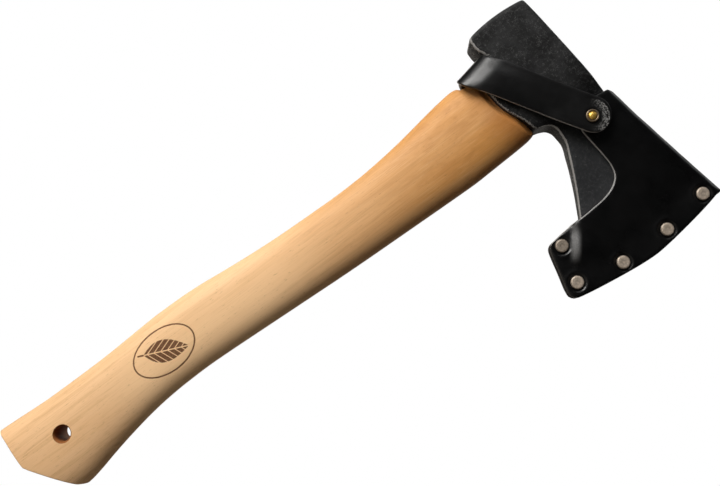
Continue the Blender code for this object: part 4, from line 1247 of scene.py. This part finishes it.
TAB_TIP_X, TAB_TIP_Z, TAB_TIP_RADIUS = 33.8, 350.9, 9.9
WELT_OUTER = [
    (107.3, 378.0), (108.9, 370.5), (110.9, 356.8), (112.7, 341.0), (113.0, 334.0),
    (112.3, 324.2), (110.3, 309.2), (107.8, 294.2), (106.6, 288.9), (105.6, 286.0),
    (103.6, 284.2), (101.2, 284.3), (90.1, 287.2), (80.2, 289.8), (77.6, 291.0),
    (76.4, 292.8), (76.0, 295.4),
]
WELT_INNER = [
    (76.0, 297.8), (77.8, 299.2), (80.4, 299.7), (84.0, 299.2), (88.0, 299.0), (94.5, 300.0),
    (99.0, 306.5), (101.2, 318.0), (102.3, 336.0), (101.8, 352.0), (99.8, 366.0),
    (98.8, 376.9),
]


def rear_x(z):
    """Where the strap starts to turn the corner."""
    return REAR_X + REAR_LEAN * (z - REAR_Z) + CORNER_RADIUS - 4.0


def band_end(z):
    """Pattern point where the strap meets the middle plane."""
    return (rear_x(z) - BAND_REACH, z)


def at_band_end(x, z):
    return rear_x(z) - x > BAND_REACH - 0.02


def wrapped(x, z, side):
    """Strap past the rear line, or None; there x is length along the leather. Near side is 1."""
    over = rear_x(z) - x
    if over <= 0:
        return None
    bend = CORNER_RADIUS * math.pi / 2
    if over < bend:
        angle = over / CORNER_RADIUS
        y = STRAP_MID_Y - CORNER_RADIUS * (1 - math.cos(angle))
        return np.array((rear_x(z) - CORNER_RADIUS * math.sin(angle), -side * y, z))
    y = STRAP_MID_Y - CORNER_RADIUS - (over - bend)
    return np.array((rear_x(z) - CORNER_RADIUS, -side * y, z))


def strap_place(x, z):
    """Distance from the snap along the tab and across it."""
    offset = np.array((x - SNAP_X, z - SNAP_Z))
    return float(np.dot(offset, STRAP_DIR)), float(np.dot(offset, STRAP_SIDE))


# ---------------------------------------------------------------- sheath
def panel_mid(x, z, side):
    """Distance of a panel's middle surface from the middle plane."""
    inner = PANEL_IN(x)
    if x > 66:
        # the panels close on the welt below the heel of the blade
        opening = ease(z, 306.9 - 0.8 * (x - 77.7) - 2.6, 5.2)
        inner = SEAM_HALF_GAP + (inner - SEAM_HALF_GAP) * opening
    middle = inner + LEATHER / 2
    if side < 0 and x < 37:
        reach = ease_down(z, FOLD_TOP(x) - 5.0, 9.0) if x > 24 else 1.0
        middle += max(0.0, ARM_MID(x) - middle) * reach
    return middle


def fold_size(x):
    """Half width, bend radius and top of the fold, to the middle of the leather."""
    half = PANEL_IN(x) + LEATHER / 2
    return half, min(half, 3.4), FOLD_TOP(x) - LEATHER / 2


def sheath_point(x, v):
    """Middle surface; v runs over the fold from 0 at its top, positive on the near side."""
    half, radius, top = fold_size(x)
    flat, bend = half - radius, radius * math.pi / 2
    side, run = (1.0 if v >= 0 else -1.0), abs(v)
    if run <= flat:
        return np.array((x, -side * run, top))
    if run <= flat + bend:
        angle = (run - flat) / radius
        y = flat + radius * math.sin(angle)
        return np.array((x, -side * y, top - radius + radius * math.cos(angle)))
    drop = run - flat - bend
    z = top - radius - drop
    if side < 0 and x < -10:
        turned_in = wrapped(x, z, -1.0)
        if turned_in is not None:
            return turned_in
    y = half + (panel_mid(x, z, side) - half) * ease(drop, 0.0, 5.0)
    return np.array((x, -side * y, z))


def fold_run(x, z):
    """Length along the leather from the top of the fold down to z."""
    half, radius, top = fold_size(x)
    bend = radius * math.pi / 2
    return half - radius + bend + max(top - radius - z, -bend * 0.98)


def dimple(x, z):
    """How far the grain is pressed in under a rivet and swells round it."""
    total = 0.0
    for rivet_x, rivet_z in RIVETS:
        away = math.hypot(x - rivet_x, z - rivet_z)
        if away < 9:
            total += -0.34 * (1 - ease(away, 4.45, 0.95)) + 0.24 * bell(away, 5.9, 0.95)
    return total


def sheath_lift(point):
    x, y, z = map(float, point)
    if x < 27:
        return 0.05 * wobble(x * 0.2, y * 0.2, z * 0.2, 2.0), 0.0
    skin = dimple(x, z) + 0.05 * wobble(x * 0.11, y * 0.05, z * 0.11, 21.0)
    # creases where the panel is drawn in under the heel of the blade
    near_heel = bell(x, 82, 8.0) * bell(z, 304, 7.0)
    skin += near_heel * 0.10 * wobble(x * 0.55 + z * 0.2, 1.0, z * 0.22, 4.0)
    # the heel of the blade pushes the panel out in a soft ridge
    from_x, from_z = x - BLADE_HEEL_X, z - BLADE_HEEL_Z
    across = HEEL_ACROSS_X * from_x + HEEL_ACROSS_Z * from_z
    along = HEEL_ACROSS_Z * from_x - HEEL_ACROSS_X * from_z
    ridge = 1.6 * ease(across, -3.4, 6.4) * bell(max(across, 3.0), 3.0, 8.0)
    return skin, ridge * bell(along, 0.5, 8.0)


def sheath_rawness(point):
    """Bare round the mouth, inked black along the seam and the fold."""
    x, z = float(point[0]), float(point[2])
    bare = ease_down(x, 76.5, 2.0) * ease(z, 303.0, 8.0) * ease_down(z, 352.0, 6.0)
    return 0.12 + 0.88 * bare


def sheath_outline():
    """Pattern outline: near panel, mouth end of the fold, far panel with strap, toe."""

    def on_side(points, side):
        return [np.array((x, side * fold_run(x, z))) for x, z in points]

    near = on_side(joined(curve(BIT_SIDE, 1.5), curve(HEEL_SIDE, 1.2)), 1)
    near += on_side(joined(curve(MOUTH + NEAR_MOUTH_END, 1.3))[1:], 1)
    half_end = [
        (27.3, fold_run(27.3, 366.5)), (29.2, fold_run(29.2, 368.4)),
        (30.8, fold_run(30.8, 369.4) * 0.86), (32.0, 4.0),
    ]
    fold_end = curve(half_end + [(32.3, 0.0)] + [(x, -v) for x, v in half_end[::-1]], 1.2)
    lower = FAR_ARM_LOWER + [band_end(BAND_LOW_Z)]
    upper = [band_end(BAND_HIGH_Z)] + FAR_ARM_UPPER
    far_mouth = joined(
        curve(upper[::-1], 1.4), curve([upper[0], lower[-1]], 1.4),
        curve(lower[::-1], 1.4), curve(MOUTH[::-1], 1.3),
    )
    far = on_side(far_mouth, -1)
    far += on_side(joined(curve(HEEL_SIDE[::-1], 1.2), curve(BIT_SIDE[::-1], 1.5)), -1)
    toe = curve([(107.9, -2.4), (108.0, 0.0), (107.9, 2.4)], 1.2)
    return joined(near, fold_end, far, toe)


def build_sheath():
    centres = [(x, side * fold_run(x, z)) for side in (1, -1) for x, z in RIVETS]
    holes = [circle(x, v, RIVET_HOLE_RADIUS) for x, v in centres]
    holes.append(circle(SNAP_X, fold_run(SNAP_X, SNAP_Z), 1.3, 20))
    extra = []
    for x, v in centres:
        for k, radius in enumerate((2.9, 3.7, 4.3, 4.7, 5.1, 5.5, 5.95, 6.6)):
            extra += circle(x, v, radius, 28 + 4 * (k % 3))
    reach = fold_run(60.0, 284.0) + 14

    def is_plain(point):
        x, v = point
        return v <= 0 and x <= -20 and at_band_end(x, sheath_point(x, v)[2])

    return leather_sheet(
        "leather_sheath", sheath_outline(), holes, extra, step=1.6,
        box=(-46.0, 116.0, -reach, reach), place=sheath_point, thick=LEATHER,
        mat=SHEATH_BLACK, bevel=0.5, grain_side=-1.0, is_plain=is_plain,
        lift=sheath_lift, rawness=sheath_rawness,
    )


# ---------------------------------------------------------------- strap tab
def tab_point(x, z):
    """Middle surface: leaves the neck corner, eases in over the cheek, dips past the snap."""
    ahead = x - rear_x(z)
    along, across = strap_place(x, z)
    swell = 2.3 * ease(ahead, -4.0, 10.0)
    swell *= math.cos(math.pi / 2 * clamp((ahead - 9.0) / 30.0)) ** 2
    swell *= 1.0 - 0.35 * ease(abs(across), 3.0, 7.0)
    turned_in = wrapped(x, z, 1.0)
    if turned_in is not None:
        angle = min(-ahead / CORNER_RADIUS, math.pi / 2)
        return turned_in + swell * np.array((-math.sin(angle), -math.cos(angle), 0.0))
    dip = 0.85 * ease(along, 2.6, 7.0) ** 1.3
    dip += 0.22 * ease(along, -14.0, 14.0) * ease(abs(across), 3.5, 6.0)
    # bulges out over the cheek and in towards the snap
    belly = 0.18 * math.sin(math.pi * clamp((along + 62) / 62)) ** 2
    belly *= 1 - 2 * ease(x, 12.0, 10.0)
    return np.array((x, -(STRAP_MID_Y + swell - dip + belly), z))


def tab_lift(point):
    x, y, z = map(float, point)
    skin = 0.06 * wobble(x * 0.12, 3.0, z * 0.12, 31.0)
    if y < -10:
        skin -= 0.12 * (1 - ease(math.hypot(x - SNAP_X, z - SNAP_Z), 3.7, 0.9))
    return skin, 0.0


def tab_rawness(point):
    """Bare along the lower edge, past the corner of the neck."""
    x, z = float(point[0]), float(point[2])
    across = strap_place(x, z)[1]
    return 0.15 + 0.85 * ease(x, -17.0, 9.0) * ease_down(across, -1.0, 7.0)


def build_tab():
    start = math.atan2(-STRAP_SIDE[1], -STRAP_SIDE[0])
    angles = [start + math.pi * i / 28 for i in range(29)]
    tip = [
        (TAB_TIP_X + TAB_TIP_RADIUS * math.cos(a), TAB_TIP_Z + TAB_TIP_RADIUS * math.sin(a))
        for a in angles
    ]
    lower = [band_end(BAND_LOW_Z)] + TAB_LOWER
    upper = TAB_UPPER + [band_end(BAND_HIGH_Z)]
    end = [upper[-1], lower[0]]
    outline = joined(curve(lower, 1.4), tip, curve(upper, 1.4), curve(end, 1.4))
    extra = []
    for k, radius in enumerate((3.1, 3.6, 4.0, 4.5, 5.1)):
        extra += circle(SNAP_X, SNAP_Z, radius, 26 + 4 * (k % 2))
    return leather_sheet(
        "leather_strap_tab", outline, [circle(SNAP_X, SNAP_Z, 2.5, 32)], extra, step=1.25,
        box=(-48.0, 46.0, 300.0, 364.0), place=tab_point, thick=STRAP_LEATHER,
        mat=STRAP_BLACK, bevel=0.42, is_plain=lambda point: at_band_end(*point),
        lift=tab_lift, rawness=tab_rawness,
    )


def build_welt():
    """The strip between the two panels along the seam."""
    return leather_sheet(
        "leather_welt", joined(curve(WELT_OUTER, 1.8), curve(WELT_INNER, 1.8)),
        [circle(x, z, RIVET_HOLE_RADIUS, 24) for x, z in RIVETS], [], step=2.6,
        box=(72.0, 116.0, 280.0, 382.0), place=lambda x, z: np.array((x, 0.0, z)),
        thick=2 * WELT_HALF, mat=WELT, bevel=0.2,
    )


# ---------------------------------------------------------------- hardware
RIVET_RADIUS, RIVET_HEIGHT, POST_RADIUS = 3.75, 1.2, 1.25


def attach(obj, body, node, slot):
    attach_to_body(obj, body)
    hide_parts(node)


def rivet_tarnish(radius, height):
    """Dark round the rim and in the groove on the crown."""
    rim = ease(radius, RIVET_RADIUS - 0.75, 0.55) * 0.62
    groove = bell(radius, 1.05, 0.22) * 0.30
    return max(rim, groove if height > 0 else 0.0)


def build_rivets():
    """A cap on each side of the seam; the near ones carry the post."""
    seam = SEAM_HALF_GAP + LEATHER + 0.1
    top = seam + RIVET_HEIGHT
    cap = [
        (0, top - 0.10), (0.9, top - 0.10), (1.2, top - 0.04), (2.1, top - 0.01),
        (RIVET_RADIUS - 0.95, top), (RIVET_RADIUS - 0.5, top - 0.12),
        (RIVET_RADIUS - 0.16, top - 0.46), (RIVET_RADIUS, top - 0.92),
        (RIVET_RADIUS - 0.06, seam + 0.25), (RIVET_RADIUS - 0.35, seam - 0.05),
    ]
    with_post = cap + [
        (POST_RADIUS, seam - 0.05), (POST_RADIUS, -seam - 0.55),
        (POST_RADIUS - 0.3, -seam - 0.8), (0, -seam - 0.8),
    ]
    socket_radius = POST_RADIUS + 0.3
    with_socket = cap + [(socket_radius, seam - 0.05), (socket_radius, seam + 1.0),
                         (0, seam + 1.0)]
    for number, (x, z) in enumerate(RIVETS, 1):
        for face, profile, side in (("front", with_post, 1.0), ("back", with_socket, -1.0)):
            name = f"rivet_cap_{number}_{face}"
            obj = turned(name, profile, x, z, NICKEL, side, rivet_tarnish)
            attach(obj, "sheath", f"seam_rivet_{number}_{face}", "antique_nickel")


def build_snap():
    panel_in = PANEL_IN(SNAP_X)
    panel = panel_in + LEATHER
    tab_in, tab_out = STRAP_MID_Y - STRAP_LEATHER / 2, STRAP_MID_Y + STRAP_LEATHER / 2
    # profiles are (radius, height towards the viewer)
    ring = [
        (1.6, tab_out + 0.2), (3.40, tab_out + 0.2), (3.62, tab_out + 0.45),
        (3.56, tab_out + 0.9), (3.2, tab_out + 1.25), (2.8, tab_out + 1.3),
        (2.5, tab_out + 1.05), (2.45, tab_out + 0.6), (1.6, tab_out + 0.6),
    ]
    dome = [
        (0, tab_out + 1.95), (0.5, tab_out + 1.93), (1.0, tab_out + 1.85),
        (1.45, tab_out + 1.70), (1.8, tab_out + 1.50), (2.08, tab_out + 1.22),
        (2.22, tab_out + 0.9), (1.25, tab_out + 0.9), (1.25, tab_in + 0.6), (0, tab_in + 0.6),
    ]
    socket = [
        (1.9, tab_in - 0.9), (3.7, tab_in - 0.9), (3.7, tab_in - 0.3), (2.15, tab_in - 0.3),
        (2.15, tab_out - 0.4), (1.62, tab_out - 0.4), (1.62, tab_in + 0.25),
        (1.9, tab_in + 0.05),
    ]
    stud = [
        (0.95, panel + 0.45), (3.3, panel + 0.45), (3.35, panel + 0.95), (1.7, panel + 1.1),
        (1.25, panel + 1.3), (1.25, panel + 1.7), (1.5, panel + 1.9), (1.5, panel + 2.1),
        (1.2, panel + 2.25), (0, panel + 2.25), (0, panel + 1.5), (0.95, panel + 1.5),
    ]
    foot = [
        (0, panel_in - 0.85), (2.4, panel_in - 0.85), (2.6, panel_in - 0.65),
        (2.5, panel_in - 0.4), (0.65, panel_in - 0.4), (0.65, panel + 1.2), (0, panel + 1.2),
    ]
    for name, profile, mat, node, body, slot in (
        ("snap_ring", ring, BRONZED, "snap_cap_ring", "strap_flap", "antique_nickel"),
        ("snap_button", dome, BRASS, "snap_dome", "strap_flap", "brass"),
        ("snap_spring_socket", socket, NICKEL, "snap_socket", "strap_flap", "antique_nickel"),
        ("snap_post_stud", stud, NICKEL, "snap_stud", "sheath", "antique_nickel"),
        ("snap_post_foot", foot, NICKEL, "snap_stud_rivet", "sheath", "antique_nickel"),
    ):
        attach(turned(name, profile, SNAP_X, SNAP_Z, mat), body, node, slot)


def finish_wedges():
    """The two wedges keep their frame meshes and get a finish and softened edges."""
    for node, mat in (("wooden_wedge", WEDGE), ("steel_ring_wedge", RING)):
        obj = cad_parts[node]
        obj.data.materials.clear()
        obj.data.materials.append(mat)
        bevel = obj.modifiers.new("soft_edges", "BEVEL")
        bevel.width, bevel.segments = 0.18 * MM, 2
        bevel.limit_method, bevel.angle_limit = "ANGLE", math.radians(35)


# ---------------------------------------------------------------- stage, light and camera
def build_world():
    """White to the camera, a faint warm fill for the rest, and little in reflections."""
    world = bpy.data.worlds.new("studio")
    bpy.context.scene.world = world
    world.use_nodes = True
    tree = world.node_tree
    tree.nodes.clear()

    def background(colour, strength):
        node = tree.nodes.new("ShaderNodeBackground")
        node.inputs[0].default_value = (*colour, 1)
        node.inputs[1].default_value = strength
        return node

    def mix(ray, other, chosen):
        node = tree.nodes.new("ShaderNodeMixShader")
        tree.links.new(path.outputs[ray], node.inputs[0])
        tree.links.new(other.outputs[0], node.inputs[1])
        tree.links.new(chosen.outputs[0], node.inputs[2])
        return node

    output = tree.nodes.new("ShaderNodeOutputWorld")
    path = tree.nodes.new("ShaderNodeLightPath")
    shown = background(colour=(1, 1, 1), strength=1.0)
    fill = background(colour=(1.0, 0.84, 0.69), strength=0.039)
    gloss = background(colour=(1, 1, 1), strength=0.02)
    final = mix("Is Camera Ray", mix("Is Glossy Ray", fill, gloss), shown)
    tree.links.new(final.outputs[0], output.inputs["Surface"])


def build_floor():
    """White to the camera, pale matt grey to the light."""
    half, z = 3, -0.0015  # metres
    mesh = bpy.data.meshes.new("floor")
    corners = [(-half, -half, z), (half, -half, z), (half, half, z), (-half, half, z)]
    mesh.from_pydata(corners, [], [(0, 1, 2, 3)])
    floor = bpy.data.objects.new("floor", mesh)
    bpy.context.scene.collection.objects.link(floor)
    pale = bpy.data.materials.new("pale_floor")
    pale.use_nodes = True
    nodes, links = pale.node_tree.nodes, pale.node_tree.links
    nodes.clear()
    output = nodes.new("ShaderNodeOutputMaterial")
    path = nodes.new("ShaderNodeLightPath")
    white = nodes.new("ShaderNodeEmission")
    white.inputs[0].default_value = (1, 1, 1, 1)
    white.inputs[1].default_value = 1.0
    matt = nodes.new("ShaderNodeBsdfDiffuse")
    matt.inputs[0].default_value = (0.42, 0.40, 0.37, 1)
    mix = nodes.new("ShaderNodeMixShader")
    links.new(path.outputs["Is Camera Ray"], mix.inputs[0])
    links.new(matt.outputs[0], mix.inputs[1])
    links.new(white.outputs[0], mix.inputs[2])
    links.new(mix.outputs[0], output.inputs["Surface"])
    mesh.materials.append(pale)


def softbox(name, direction, distance, size, power, colour=(1, 1, 1)):
    """An area light seen in direction from the middle of the hatchet, in metres and watts."""
    aim = Vector((-0.005, 0.0, 0.2))
    data = bpy.data.lights.new(name, "AREA")
    data.shape = "RECTANGLE"
    data.size, data.size_y = size
    data.energy, data.color = power, colour
    obj = bpy.data.objects.new(name, data)
    towards = Vector(direction).normalized()
    obj.location = aim + towards * distance
    obj.rotation_euler = (-towards).to_track_quat("-Z", "Y").to_euler()
    bpy.context.scene.collection.objects.link(obj)


def build_lights():
    softbox("key", direction=(-0.80, -0.60, 0.0), distance=0.95, size=(0.50, 0.75),
            power=14.6, colour=(1.0, 0.985, 0.96))
    softbox("front", direction=(-0.75, -0.75, 0.95), distance=1.2, size=(0.5, 0.5), power=1.2)
    softbox("top", direction=(-0.1, 0.1, 1.0), distance=1.0, size=(0.5, 0.5), power=0.8)
    softbox("back_fill", direction=(-0.35, 1.0, 0.45), distance=1.3, size=(0.9, 0.9),
            power=6.8, colour=(1.0, 0.94, 0.87))
    softbox("side_fill", direction=(0.6, 1.0, 0.35), distance=1.4, size=(0.7, 0.9),
            power=1.4, colour=(1.0, 0.93, 0.85))


def build_camera():
    """Looks from the near side, rolled so that the haft lies aslant."""
    data = bpy.data.cameras.new("camera")
    data.lens, data.sensor_width, data.sensor_fit = 44.5, 36.0, "HORIZONTAL"
    data.clip_start, data.clip_end = 0.01, 20.0
    camera = bpy.data.objects.new("camera", data)
    right = Vector((0.6, 0.0, 0.8))
    up = Vector((-0.79404, -0.12187, 0.59553))
    back = Vector((0.09750, -0.99255, -0.07312))
    # slid a little left and down in its own view
    place = Vector((0.02324, -0.47702, 0.17655)) - 0.0008 * right - 0.0004 * up
    turn = Matrix((right, up, back)).transposed().to_4x4()
    camera.matrix_world = Matrix.Translation(place) @ turn
    bpy.context.scene.collection.objects.link(camera)
    bpy.context.scene.camera = camera


# ---------------------------------------------------------------- assembly
attach(build_haft(), "hatchet", "handle", "haft_wood")
attach(build_head(), "hatchet", "axe_head", "forged_steel")

sheath = build_sheath()
to_metres((-21.2, 14.0, 314.6))
to_metres((-27.4, 10.0, 312.6))
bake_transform(sheath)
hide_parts("sheath_leather", "strap_wrap")

tab = build_tab()
to_metres((-23.6, -11.6, 314.0))
to_metres((-17.3, -14.2, 316.0))
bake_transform(tab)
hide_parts("strap_tab")

attach(build_welt(), "sheath", "sheath_welt", "welt_leather")
build_rivets()
build_snap()
finish_wedges()

build_world()
build_floor()
build_lights()
build_camera()
bpy.context.scene.view_settings.view_transform = "Standard"
bpy.context.scene.view_settings.look = "None"

bpy.context.view_layer.update()
